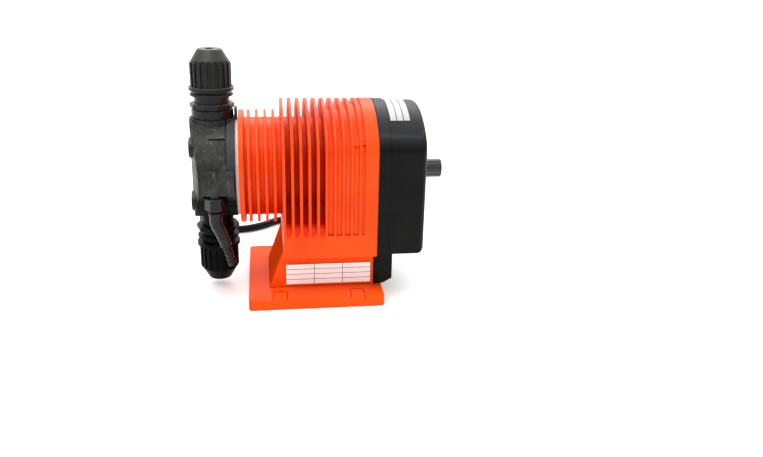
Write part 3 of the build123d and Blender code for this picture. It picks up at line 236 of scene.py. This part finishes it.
def reddened(nt, colour, deep):
    """Painted shade: a deep saturated tone at the bottom of the wide gaps between the fins; it starts lower on the
    round barrel, and stops above the skirt and at the shallow grooves. The skirt gets a painted highlight. Gives the
    colour, its mask and the skirt's mask."""
    ao = nt.nodes.new("ShaderNodeAmbientOcclusion")
    ao.samples = 6
    ao.inputs["Distance"].default_value = 0.006
    wide = falling(nt, ao.outputs["AO"], 0.62, 0.34)
    tc = nt.nodes.new("ShaderNodeTexCoord")
    sep = nt.nodes.new("ShaderNodeSeparateXYZ")
    nt.links.new(tc.outputs["Object"], sep.inputs["Vector"])
    x, z = sep.outputs["X"], sep.outputs["Z"]
    barrel = times(nt, falling(nt, x, -0.0258, -0.0262), falling(nt, z, 0.102, 0.068))
    arch = times(nt, falling(nt, x, -0.0262, -0.0258), falling(nt, z, 0.134, 0.106))
    both = nt.nodes.new("ShaderNodeMath")
    both.operation = "ADD"
    nt.links.new(barrel, both.inputs[0])
    nt.links.new(arch, both.inputs[1])
    ends = times(nt, falling(nt, z, 0.0520, 0.0580), falling(nt, x, 0.0062, 0.0056))
    mask = times(nt, times(nt, wide, both.outputs["Value"]), ends)
    mix = nt.nodes.new("ShaderNodeMixRGB")
    mix.inputs["Color2"].default_value = (*deep, 1.0)
    nt.links.new(mask, mix.inputs["Fac"])
    nt.links.new(colour, mix.inputs["Color1"])
    # painted highlight on the lower ends of the deep gaps
    span_x = times(nt, falling(nt, x, -0.0262, -0.0258), falling(nt, x, 0.0062, 0.0056))
    skirt = times(nt, falling(nt, z, 0.0595, 0.0530), falling(nt, z, 0.0500, 0.0510))
    painted_glow = times(nt, falling(nt, ao.outputs["AO"], 0.80, 0.50), times(nt, span_x, skirt))
    light = nt.nodes.new("ShaderNodeMixRGB")
    light.inputs["Color2"].default_value = (1.0, 0.13, 0.03, 1.0)
    nt.links.new(painted_glow, light.inputs["Fac"])
    nt.links.new(mix.outputs["Color"], light.inputs["Color1"])
    return light.outputs["Color"], mask, painted_glow


def dusted(nt, colour, top, slope):
    """Painted sheen: a lighter tone on the faces that look up, standing in for the reflection of the light above."""
    geo = nt.nodes.new("ShaderNodeNewGeometry")
    sep = nt.nodes.new("ShaderNodeSeparateXYZ")
    nt.links.new(geo.outputs["Normal"], sep.inputs["Vector"])
    mask = ramp(nt, sep.outputs["Z"], [(p, (v, v, v)) for p, v in slope])
    mix = nt.nodes.new("ShaderNodeMixRGB")
    mix.inputs["Color2"].default_value = (*top, 1.0)
    nt.links.new(mask, mix.inputs["Fac"])
    nt.links.new(colour, mix.inputs["Color1"])
    return mix.outputs["Color"]


def plastic(name, dark, light, rough=(0.38, 0.5), grain=2600.0, grain_depth=0.00004, wave=160.0, wave_depth=0.0,
            mottle=28.0, spec=0.5, stretch=(1, 1, 1), crease_shade=None, top=None, slope=((0.12, 0.0), (0.85, 1.0)), gap_shade=None):
    """Moulded plastic: cloudy colour, patchy gloss, fine spark-eroded grain and a slow unevenness; optionally a
    painted top sheen, painted crease shade, and painted gap shade with a painted glow.
    """
    m, nt, b = new_material(name)
    vec = coords(nt, stretch)
    cloud = noise(nt, vec, mottle, 4.0)
    colour = ramp(nt, cloud, [(0.3, dark), (0.7, light)])
    # painted sheen on the faces that look up
    if top:
        colour = dusted(nt, colour, top, slope)
    # painted shade in creases and grooves
    if crease_shade:
        colour = creased(nt, colour, crease_shade)
    b.inputs["Specular IOR Level"].default_value = spec
    # painted shade in the deep gaps, with a painted highlight and a faint painted glow on their lower ends
    if gap_shade:
        colour, mask, painted_glow = reddened(nt, colour, gap_shade)
        b.inputs["Emission Color"].default_value = (1.0, 0.10, 0.03, 1.0)
        nt.links.new(falling(nt, painted_glow, 0.0, 1.0, 0.0, 0.30), b.inputs["Emission Strength"])
        nt.links.new(falling(nt, mask, 0.0, 1.0, spec, 0.02), b.inputs["Specular IOR Level"])
    nt.links.new(colour, b.inputs["Base Color"])
    patch = noise(nt, vec, mottle * 3.1, 5.0, 0.6)
    nt.links.new(span(nt, patch, rough[0], rough[1]), b.inputs["Roughness"])
    normal = bump(nt, noise(nt, vec, grain, 2.0), grain_depth)
    if wave_depth:
        normal = bump(nt, noise(nt, vec, wave, 1.0), wave_depth, before=normal)
    nt.links.new(normal, b.inputs["Normal"])
    return m


def metal(name, dark, light, rough=(0.22, 0.38), axis="X", pitch=1400.0, depth=0.00003):
    """Turned or drawn metal: fine lines round or along the part, patchy gloss."""
    m, nt, b = new_material(name)
    stretch = {"X": (1, 0.03, 0.03), "Z": (0.03, 0.03, 1), "R": (1, 1, 1)}[axis]
    vec = coords(nt, stretch)
    lines = noise(nt, vec, pitch, 4.0, 0.7)
    nt.links.new(ramp(nt, lines, [(0.3, dark), (0.7, light)]), b.inputs["Base Color"])
    nt.links.new(span(nt, noise(nt, coords(nt), 60.0, 5.0), rough[0], rough[1]), b.inputs["Roughness"])
    nt.links.new(bump(nt, lines, depth), b.inputs["Normal"])
    b.inputs["Metallic"].default_value = 1.0
    return m


MAT = {}
# The crease colour is painted shade in the shallow grooves; the gap colour is painted shade in the deep gaps, which
# also brings a painted glow on their lower ends.
MAT["orange"] = plastic("orange_plastic", (0.86, 0.058, 0.003), (0.97, 0.086, 0.006), rough=(0.32, 0.46), grain=1500.0,
                        grain_depth=0.000018, wave=95.0, wave_depth=0.00004, mottle=22.0, spec=0.13, crease_shade=(0.34, 0.008, 0.001),
                        gap_shade=(0.70, 0.0032, 0.0006))
# The crease colour is painted shade in the grooves and outlines of the foot.
MAT["orange_foot"] = plastic("orange_foot_plastic", (0.92, 0.084, 0.005), (1.0, 0.108, 0.009), rough=(0.36, 0.5), grain=1500.0,
                             grain_depth=0.00002, wave=95.0, wave_depth=0.00004, mottle=22.0, spec=0.06, crease_shade=(0.25, 0.012, 0.001))


def shaded_front(m, spec, shade, amount):
    """Duller, deeper tone on the faces that look forwards, in the shade of the head."""
    nt, b = m.node_tree, m.node_tree.nodes["Principled BSDF"]
    geo = nt.nodes.new("ShaderNodeNewGeometry")
    sep = nt.nodes.new("ShaderNodeSeparateXYZ")
    nt.links.new(geo.outputs["Normal"], sep.inputs["Vector"])
    colour = b.inputs["Base Color"].links[0].from_socket
    mix = nt.nodes.new("ShaderNodeMixRGB")
    mix.inputs["Color2"].default_value = (*shade, 1.0)
    nt.links.new(falling(nt, sep.outputs["X"], -0.30, -0.70, 0.0, amount), mix.inputs["Fac"])
    nt.links.new(colour, mix.inputs["Color1"])
    nt.links.new(mix.outputs["Color"], b.inputs["Base Color"])
    nt.links.new(falling(nt, sep.outputs["X"], -0.30, -0.70, spec, 0.0), b.inputs["Specular IOR Level"])


shaded_front(MAT["orange_foot"], 0.06, (0.56, 0.046, 0.004), 0.75)
# The top colour is a painted sheen on the faces that look up, with a narrow painted highlight where the crown meets
# the shoulder; the crease colour is painted shade.
MAT["cover"] = plastic("black_cover_plastic", (0.0042, 0.0042, 0.0040), (0.0070, 0.0070, 0.0066), rough=(0.30, 0.44), grain=2200.0,
                       grain_depth=0.00003, wave=120.0, wave_depth=0.00004, spec=0.09, top=(0.034, 0.038, 0.042),
                       slope=[(0.22, 0.0), (0.60, 0.42), (0.705, 1.0), (0.745, 0.55), (1.0, 0.85)], crease_shade=(0.0008, 0.0008, 0.0008))
# The top colour is a painted sheen on the faces that look up.
MAT["valve"] = plastic("valve_plastic", (0.0050, 0.0050, 0.0047), (0.0100, 0.0100, 0.0092), rough=(0.26, 0.46), grain=2400.0,
                       grain_depth=0.00005, mottle=80.0, spec=0.26, top=(0.066, 0.067, 0.064))
# A darker copy of the valve plastic for the lower valve parts: painted shade; its top colour is a painted sheen and
# its crease colour painted shade.
MAT["valve_low"] = plastic("lower_valve_shaded_plastic", (0.0015, 0.0015, 0.0014), (0.0036, 0.0036, 0.0033), rough=(0.24, 0.42), grain=2400.0,
                           grain_depth=0.00005, mottle=80.0, spec=0.05, top=(0.015, 0.015, 0.014), crease_shade=(0.0008, 0.0008, 0.0008))
# The top colour is a painted sheen on the faces that look up; the crease colour is painted shade.
MAT["bleed"] = plastic("bleed_valve_plastic", (0.0020, 0.0020, 0.0018), (0.0100, 0.0100, 0.0092), rough=(0.14, 0.32), grain=900.0,
                       grain_depth=0.00014, mottle=150.0, spec=0.26, top=(0.05, 0.05, 0.048), crease_shade=(0.0008, 0.0008, 0.0008))
MAT["knob"] = plastic("knob_plastic", (0.013, 0.013, 0.0128), (0.022, 0.022, 0.0215), rough=(0.24, 0.38), grain=3000.0,
                      grain_depth=0.00004, mottle=90.0, spec=0.7)
MAT["lamp"] = plastic("lamp_lens", (0.05, 0.32, 0.06), (0.08, 0.42, 0.09), rough=(0.1, 0.2), grain=900.0, grain_depth=0.00001)
MAT["white_rubber"] = plastic("diaphragm_rubber", (0.66, 0.66, 0.63), (0.76, 0.76, 0.73), rough=(0.45, 0.6), grain=2000.0,
                              grain_depth=0.00004)
MAT["seal"] = plastic("seal_rubber", (0.010, 0.010, 0.010), (0.018, 0.018, 0.018), rough=(0.55, 0.7), grain=1900.0,
                      grain_depth=0.00005)
MAT["cord"] = plastic("cord_pvc", (0.003, 0.003, 0.003), (0.006, 0.006, 0.006), rough=(0.40, 0.52), grain=1100.0,
                      grain_depth=0.00005, mottle=50.0, spec=0.10)
MAT["bush"] = plastic("bush_plastic", (0.60, 0.58, 0.52), (0.70, 0.68, 0.62), rough=(0.4, 0.5))
MAT["bobbin"] = plastic("bobbin_plastic", (0.03, 0.03, 0.033), (0.05, 0.05, 0.055), rough=(0.4, 0.55))
MAT["seat"] = plastic("seat_plastic", (0.10, 0.10, 0.10), (0.15, 0.15, 0.15), rough=(0.35, 0.5))
MAT["component"] = plastic("component_plastic", (0.015, 0.015, 0.02), (0.03, 0.03, 0.035), rough=(0.35, 0.5))
MAT["terminal"] = plastic("terminal_plastic", (0.03, 0.16, 0.06), (0.05, 0.22, 0.08), rough=(0.35, 0.5))
MAT["steel"] = metal("turned_steel", (0.42, 0.42, 0.42), (0.62, 0.62, 0.61))
MAT["screw"] = metal("screw_steel", (0.50, 0.50, 0.50), (0.70, 0.70, 0.69), rough=(0.18, 0.3), axis="R", pitch=900.0)
MAT["brass"] = metal("blade_brass", (0.52, 0.40, 0.17), (0.66, 0.53, 0.25), rough=(0.2, 0.34), axis="R", pitch=700.0)


def worn_plastic(name, dark, light, scuff, spec=0.22):
    """Glass-filled black plastic with chalky patches, fine scratches and a wrinkled skin, with painted shade under the
    raised block and in creases.
    """
    m, nt, b = new_material(name)
    vec = coords(nt)
    cloud = ramp(nt, noise(nt, vec, 75.0, 7.0, 0.68), [(0.38, dark), (0.62, light)])
    streaks = noise(nt, coords(nt, (1.0, 0.8, 0.22)), 420.0, 5.0, 0.7)
    mask = ramp(nt, streaks, [(0.57, (0, 0, 0)), (0.70, (1, 1, 1))])
    mix = nt.nodes.new("ShaderNodeMixRGB")
    mix.inputs["Color2"].default_value = (*scuff, 1.0)
    nt.links.new(mask, mix.inputs["Fac"])
    nt.links.new(cloud, mix.inputs["Color1"])
    # lighter grey band along the rear rim, on its upper part only
    tc = nt.nodes.new("ShaderNodeTexCoord")
    sep = nt.nodes.new("ShaderNodeSeparateXYZ")
    nt.links.new(tc.outputs["Object"], sep.inputs["Vector"])
    edge = nt.nodes.new("ShaderNodeMapRange")
    edge.inputs["From Min"].default_value = -0.0655
    edge.inputs["From Max"].default_value = -0.0650
    nt.links.new(sep.outputs["X"], edge.inputs["Value"])
    level = nt.nodes.new("ShaderNodeMapRange")
    level.inputs["From Min"].default_value = 0.1005
    level.inputs["From Max"].default_value = 0.1010
    nt.links.new(sep.outputs["Z"], level.inputs["Value"])
    both = nt.nodes.new("ShaderNodeMath")
    both.operation = "MULTIPLY"
    nt.links.new(edge.outputs["Result"], both.inputs[0])
    nt.links.new(level.outputs["Result"], both.inputs[1])
    band = nt.nodes.new("ShaderNodeMixRGB")
    band.inputs["Color2"].default_value = (0.036, 0.039, 0.042, 1.0)
    nt.links.new(both.outputs["Value"], band.inputs["Fac"])
    nt.links.new(mix.outputs["Color"], band.inputs["Color1"])
    # painted shade on the lower part, under the raised block
    low_shade_mask = nt.nodes.new("ShaderNodeMapRange")
    low_shade_mask.inputs["From Min"].default_value = 0.0835
    low_shade_mask.inputs["From Max"].default_value = 0.0790
    low_shade_mask.inputs["To Max"].default_value = 0.86
    nt.links.new(sep.outputs["Z"], low_shade_mask.inputs["Value"])
    under_block_shade = nt.nodes.new("ShaderNodeMixRGB")
    under_block_shade.inputs["Color2"].default_value = (0.0035, 0.0035, 0.0032, 1.0)
    nt.links.new(low_shade_mask.outputs["Result"], under_block_shade.inputs["Fac"])
    nt.links.new(band.outputs["Color"], under_block_shade.inputs["Color1"])
    # painted shade in the head's creases
    nt.links.new(creased(nt, under_block_shade.outputs["Color"], (0.002, 0.002, 0.002), 0.002), b.inputs["Base Color"])
    nt.links.new(span(nt, noise(nt, vec, 130.0, 5.0, 0.6), 0.34, 0.60), b.inputs["Roughness"])
    skin = bump(nt, noise(nt, vec, 230.0, 6.0, 0.66), 0.00045)
    nt.links.new(bump(nt, noise(nt, vec, 1900.0, 2.0), 0.00005, before=skin), b.inputs["Normal"])
    nt.links.new(falling(nt, low_shade_mask.outputs["Result"], 0.0, 0.86, spec, 0.03), b.inputs["Specular IOR Level"])
    return m


def ruled_label(name, place, turn, brick, row, line=0.00022, tone=0.90, painted_glow=0.22):
    """White label film with empty printed table rules; its own plane is laid out in x and y of the pattern, with a
    faint painted glow.
    """
    m, nt, b = new_material(name)
    tc = nt.nodes.new("ShaderNodeTexCoord")
    sep = nt.nodes.new("ShaderNodeSeparateXYZ")
    com = nt.nodes.new("ShaderNodeCombineXYZ")
    nt.links.new(tc.outputs["Object"], sep.inputs["Vector"])
    for axis, side in zip(turn, ("X", "Y")):
        nt.links.new(sep.outputs[axis], com.inputs[side])
    mp = nt.nodes.new("ShaderNodeMapping")
    mp.inputs["Location"].default_value = (-place[0], -place[1], 0.0)
    nt.links.new(com.outputs["Vector"], mp.inputs["Vector"])
    br = nt.nodes.new("ShaderNodeTexBrick")
    br.offset = 0.0
    br.inputs["Scale"].default_value = 1.0
    br.inputs["Brick Width"].default_value = brick
    br.inputs["Row Height"].default_value = row
    br.inputs["Mortar Size"].default_value = line
    br.inputs["Mortar Smooth"].default_value = 0.1
    br.inputs["Color1"].default_value = (tone, tone, tone * 0.98, 1)
    br.inputs["Color2"].default_value = (tone * 0.96, tone * 0.96, tone * 0.945, 1)
    br.inputs["Mortar"].default_value = (0.05, 0.05, 0.05, 1)
    nt.links.new(mp.outputs["Vector"], br.inputs["Vector"])
    nt.links.new(br.outputs["Color"], b.inputs["Base Color"])
    # painted glow: the film emits a little light in its own colour
    nt.links.new(br.outputs["Color"], b.inputs["Emission Color"])
    b.inputs["Emission Strength"].default_value = painted_glow
    vec = coords(nt)
    nt.links.new(span(nt, noise(nt, vec, 90.0, 4.0), 0.28, 0.42), b.inputs["Roughness"])
    nt.links.new(bump(nt, noise(nt, vec, 600.0, 2.0), 0.00003), b.inputs["Normal"])
    b.inputs["Specular IOR Level"].default_value = 0.3
    return m


def winding_material():
    m, nt, b = new_material("winding_copper")
    vec = coords(nt)
    w = nt.nodes.new("ShaderNodeTexWave")
    w.wave_type, w.bands_direction = "BANDS", "X"
    w.inputs["Scale"].default_value = 320.0
    w.inputs["Distortion"].default_value = 0.6
    nt.links.new(vec, w.inputs["Vector"])
    nt.links.new(ramp(nt, w.outputs["Fac"], [(0.1, (0.20, 0.06, 0.02)), (0.8, (0.62, 0.25, 0.10))]), b.inputs["Base Color"])
    nt.links.new(bump(nt, w.outputs["Fac"], 0.0002), b.inputs["Normal"])
    nt.links.new(span(nt, noise(nt, vec, 80.0), 0.25, 0.4), b.inputs["Roughness"])
    b.inputs["Metallic"].default_value = 0.9
    return m


def board_material():
    m, nt, b = new_material("board_laminate")
    vec = coords(nt)
    v = nt.nodes.new("ShaderNodeTexVoronoi")
    v.distance = "MANHATTAN"
    v.feature = "DISTANCE_TO_EDGE"
    v.inputs["Scale"].default_value = 190.0
    nt.links.new(vec, v.inputs["Vector"])
    nt.links.new(ramp(nt, v.outputs["Distance"], [(0.03, (0.05, 0.26, 0.10)), (0.09, (0.015, 0.12, 0.05))]), b.inputs["Base Color"])
    nt.links.new(span(nt, noise(nt, vec, 200.0), 0.25, 0.4), b.inputs["Roughness"])
    nt.links.new(bump(nt, v.outputs["Distance"], 0.00005), b.inputs["Normal"])
    return m


def glass_material():
    m, nt, b = new_material("ball_glass")
    vec = coords(nt)
    nt.links.new(ramp(nt, noise(nt, vec, 120.0), [(0.3, (0.70, 0.80, 0.78)), (0.7, (0.82, 0.90, 0.88))]), b.inputs["Base Color"])
    nt.links.new(span(nt, noise(nt, vec, 300.0), 0.02, 0.08), b.inputs["Roughness"])
    b.inputs["Transmission Weight"].default_value = 0.8
    b.inputs["IOR"].default_value = 1.5
    return m


MAT["head"] = worn_plastic("head_plastic", (0.008, 0.008, 0.0075), (0.042, 0.042, 0.039), (0.10, 0.10, 0.096))
MAT["plate_film"] = ruled_label("plate_film", (-0.0242, 0.0100), ("X", "Z"), 0.0216, 0.00415)
MAT["crown_film"] = ruled_label("crown_film", (-0.0314, 0.0526), ("Y", "X"), 0.0628, 0.0050, line=0.00040, tone=0.50, painted_glow=0.0)
MAT["dial"] = plastic("dial_film", (0.70, 0.70, 0.69), (0.78, 0.78, 0.77), rough=(0.28, 0.4), grain=3500.0, grain_depth=0.000015,
                      mottle=40.0, spec=0.3)
MAT["ink"] = plastic("print_ink", (0.008, 0.008, 0.009), (0.016, 0.016, 0.018), rough=(0.3, 0.42), grain=3000.0,
                     grain_depth=0.00001, mottle=200.0, spec=0.3)
MAT["white_ink"] = plastic("pointer_ink", (0.72, 0.72, 0.70), (0.80, 0.80, 0.78), rough=(0.35, 0.5), grain=3000.0,
                           grain_depth=0.00001, mottle=200.0, spec=0.3)
MAT["winding"] = winding_material()
MAT["board"] = board_material()
MAT["glass"] = glass_material()

USE = {
    "main_housing": "orange", "foot_base": "orange_foot", "base_screws": "screw", "cable_entry_box": "cover", "rating_plate": "plate_film", "rear_cover": "cover", "cover_gasket": "seal", "cover_screws": "screw",
    "crown_label": "crown_film", "potentiometer": "component", "potentiometer_shaft": "steel", "rate_knob": "knob",
    "rate_scale": "dial", "status_lamp": "lamp", "circuit_board": "board", "board_standoffs": "bush", "power_module": "component",
    "terminal_block": "terminal", "magnet_yoke": "steel", "end_plate": "steel", "coil_bobbin": "bobbin",
    "copper_winding": "winding", "pole_piece": "steel", "guide_bushes": "bush", "armature": "steel", "armature_shaft": "steel",
    "return_spring": "screw", "diaphragm": "white_rubber", "pump_head": "head", "head_bolts": "screw", "bolt_caps": "valve",
    "discharge_valve_body": "valve", "suction_valve_body": "valve_low", "discharge_seat": "seat", "suction_seat": "seat",
    "suction_ball_cage": "seat", "discharge_ball": "glass", "suction_ball": "glass", "valve_o_rings": "seal",
    "discharge_nut": "valve", "suction_nut": "valve_low", "discharge_grip": "seat", "suction_grip": "seat",
    "bleed_valve_body": "bleed", "bleed_elbow": "bleed", "cable_gland": "cover", "strain_relief": "cord", "mains_cord": "cord",
    "mains_cord_coil": "cord", "cord_tie": "bobbin", "mains_plug": "cord", "plug_blades": "brass", "cord_tail": "cord"}
for node, key in USE.items():
    if node not in NODES:
        continue
    data = NODES[node].data
    data.materials.clear()
    data.materials.append(MAT[key])
cord.data.materials.append(MAT["cord"])


# ---------------------------------------------------- soft edges on CAD nodes
def soften(node, width, angle=35.0, segments=2):
    """Join the shell's split vertices, then round its edges and weight its normals."""
    obj = NODES.get(node)
    if obj is None:
        return
    for p in obj.data.polygons:
        p.use_smooth = True
    weld = obj.modifiers.new("weld", "WELD")
    weld.merge_threshold = 0.00001
    bev = obj.modifiers.new("edge", "BEVEL")
    bev.width = width * MM
    bev.segments = segments
    bev.limit_method = "ANGLE"
    bev.angle_limit = math.radians(angle)
    bev.harden_normals = False
    bev.use_clamp_overlap = True
    wn = obj.modifiers.new("normals", "WEIGHTED_NORMAL")
    wn.keep_sharp = False
    wn.weight = 60


for node, width in {
        "main_housing": 0.45, "foot_base": 0.6, "cable_entry_box": 0.6, "rear_cover": 0.5, "pump_head": 0.5, "discharge_nut": 0.3, "suction_nut": 0.3,
        "discharge_valve_body": 0.25, "suction_valve_body": 0.25, "bolt_caps": 0.15, "bleed_valve_body": 0.3,
        "bleed_elbow": 0.3, "rate_knob": 0.25, "mains_plug": 0.8, "cable_gland": 0.4, "strain_relief": 0.4,
        "cover_gasket": 0.15, "plug_blades": 0.3, "rating_plate": 0.1, "crown_label": 0.08}.items():
    soften(node, width)

# ------------------------------------- copies of the soft parts
def soft_copy(node, name):
    """A mesh of the node's own shape, as a new object; the node itself is hidden."""
    data = NODES[node].data.copy()
    data.name = name
    o = link(bpy.data.objects.new(name, data))
    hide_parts(node)
    return o


spring = soft_copy("return_spring", "spring_coils")
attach(spring, "pump")
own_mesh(spring)
membrane = soft_copy("diaphragm", "diaphragm_skin")
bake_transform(membrane)

# ------------------------------------------------------- print on the dial
def flat_bars(name, bars, body, material):
    """Thin printed or inlaid bars as one mesh; a bar is (centre, length direction, across direction, length, width, thickness), in mm."""
    bm = bmesh.new()
    for centre, along, across, length, width, thick in bars:
        c, a, w = Vector(centre) * MM, Vector(along).normalized(), Vector(across).normalized()
        n = a.cross(w)
        ends = []
        for side in (0.0, 1.0):
            loop = []
            for k in range(16):
                t = 2 * math.pi * k / 16
                u, v = math.cos(t), math.sin(t)
                u = (length / 2 - width / 2) * (1 if u > 0 else -1) + width / 2 * u
                loop.append(bm.verts.new(c + a * u * MM + w * width / 2 * v * MM + n * (side - 0.5) * thick * MM))
            ends.append(loop)
        bm.faces.new(list(reversed(ends[0])))
        bm.faces.new(ends[1])
        for k in range(16):
            bm.faces.new((ends[0][k], ends[0][(k + 1) % 16], ends[1][(k + 1) % 16], ends[1][k]))
    bmesh.ops.recalc_face_normals(bm, faces=bm.faces)
    me = bpy.data.meshes.new(name)
    bm.to_mesh(me)
    bm.free()
    o = link(bpy.data.objects.new(name, me))
    me.materials.append(material)
    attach(o, body)
    return o


def dial_place(value, radius, x):
    """Point on the dial for a setting from 0 to 100, clockwise seen from the rear."""
    a = math.radians(-150 + 3 * value)
    return (x, radius * math.sin(a), KNOB_Z + radius * math.cos(a)), (0, math.sin(a), math.cos(a)), (0, math.cos(a), -math.sin(a))


ticks = []
for value in range(0, 101, 5):
    major = value % 20 == 0
    place, out, across = dial_place(value, 13.2 if major else 12.9, 79.02)
    ticks.append((place, out, across, 2.0 if major else 1.3, 0.42 if major else 0.26, 0.06))
flat_bars("dial_ticks", ticks, "pump", MAT["ink"])
for value in range(0, 101, 20):
    place, out, across = dial_place(value, 16.3, 79.02)
    text = bpy.data.curves.new("dial_number_%d" % value, "FONT")
    text.body = str(value)
    text.size = 3.3 * MM
    text.extrude = 0.02 * MM
    text.align_x, text.align_y = "CENTER", "CENTER"
    text.materials.append(MAT["ink"])
    number = link(bpy.data.objects.new("dial_number_%d" % value, text))
    number.matrix_world = Matrix(((0, 0, 1, place[0] * MM), (1, 0, 0, place[1] * MM), (0, 1, 0, place[2] * MM), (0, 0, 0, 1)))
    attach(number, "pump")
flat_bars("knob_pointer", [
    ((98.5, 0, KNOB_Z + 4.2), (0, 0, 1), (0, 1, 0), 4.1, 0.75, 0.4),
    ((81.62, 0, KNOB_Z + 9.5), (0, 0, 1), (0, 1, 0), 3.2, 0.75, 0.08)], "rate_control", MAT["white_ink"])

# small bridges across the last two shallow grooves, on the near shoulder
flat_bars("groove_bridges", [
    ((x, -46.37, 123.53), (1, 0, 0), (0, 0.455, 0.89), length, 1.1, 1.0) for x, length in ((26.8, 4.3), (32.0, 2.9))],
    "pump", MAT["orange"])

# -------------------------------------------------------------- floor, lights
def stage_floor():
    bm = bmesh.new()
    n = 24
    size = 30.0
    rows = []
    for i in range(n + 1):
        row = []
        for j in range(n + 1):
            x, y = (i / n - 0.5) * size, (j / n - 0.5) * size
            row.append(bm.verts.new((x, y, 0.0)))
        rows.append(row)
    for i in range(n):
        for j in range(n):
            bm.faces.new((rows[i][j], rows[i + 1][j], rows[i + 1][j + 1], rows[i][j + 1]))
    me = bpy.data.meshes.new("floor")
    bm.to_mesh(me)
    bm.free()
    for p in me.polygons:
        p.use_smooth = True
    o = link(bpy.data.objects.new("floor", me))
    m, nt, b = new_material("floor_white")
    vec = coords(nt)
    nt.links.new(ramp(nt, noise(nt, vec, 3.0), [(0.3, (0.86, 0.86, 0.86)), (0.7, (0.88, 0.88, 0.88))]), b.inputs["Base Color"])
    b.inputs["Roughness"].default_value = 0.42
    b.inputs["Specular IOR Level"].default_value = 0.3
    b.inputs["Emission Color"].default_value = (1, 1, 1, 1)
    b.inputs["Emission Strength"].default_value = 0.22
    me.materials.append(m)
    return o


stage_floor()


def area(name, place, target, size, power, size_y=None, color=(1, 1, 1)):
    d = bpy.data.lights.new(name, "AREA")
    d.energy = power
    d.size = size
    d.color = color
    if size_y:
        d.shape = "RECTANGLE"
        d.size_y = size_y
    o = link(bpy.data.objects.new(name, d))
    o.location = place
    o.rotation_euler = (Vector(target) - Vector(place)).to_track_quat("-Z", "Y").to_euler()
    return o


area("key_top", (-0.30, -0.30, 1.20), (0, 0.02, 0.08), 0.9, 9.0, 0.7)
area("back_top", (0.25, 0.95, 1.10), (0, 0.1, 0.08), 1.2, 10.0, 0.8)
area("fill_left", (-1.10, -0.55, 0.60), (-0.03, 0, 0.08), 0.6, 1.0, 0.5)


def studio_world():
    """Bright above and behind, dim in front, as in a tent lit from the top."""
    world = bpy.data.worlds.new("studio")
    world.use_nodes = True
    nt = world.node_tree
    bg = nt.nodes["Background"]
    tc = nt.nodes.new("ShaderNodeTexCoord")
    sep = nt.nodes.new("ShaderNodeSeparateXYZ")
    nt.links.new(tc.outputs["Generated"], sep.inputs["Vector"])
    top = nt.nodes.new("ShaderNodeMapRange")
    top.inputs["From Min"].default_value = 0.0
    top.inputs["From Max"].default_value = 0.75
    top.inputs["To Min"].default_value = 0.22
    top.inputs["To Max"].default_value = 1.0
    nt.links.new(sep.outputs["Z"], top.inputs["Value"])
    rear = nt.nodes.new("ShaderNodeMapRange")
    rear.inputs["From Min"].default_value = 0.1
    rear.inputs["From Max"].default_value = 0.9
    rear.inputs["To Min"].default_value = 0.0
    rear.inputs["To Max"].default_value = 0.9
    nt.links.new(sep.outputs["Y"], rear.inputs["Value"])
    total = nt.nodes.new("ShaderNodeMath")
    total.operation = "ADD"
    nt.links.new(top.outputs["Result"], total.inputs[0])
    nt.links.new(rear.outputs["Result"], total.inputs[1])
    nt.links.new(total.outputs["Value"], bg.inputs["Strength"])
    bg.inputs["Color"].default_value = (1, 1, 1, 1)
    bpy.context.scene.world = world


studio_world()
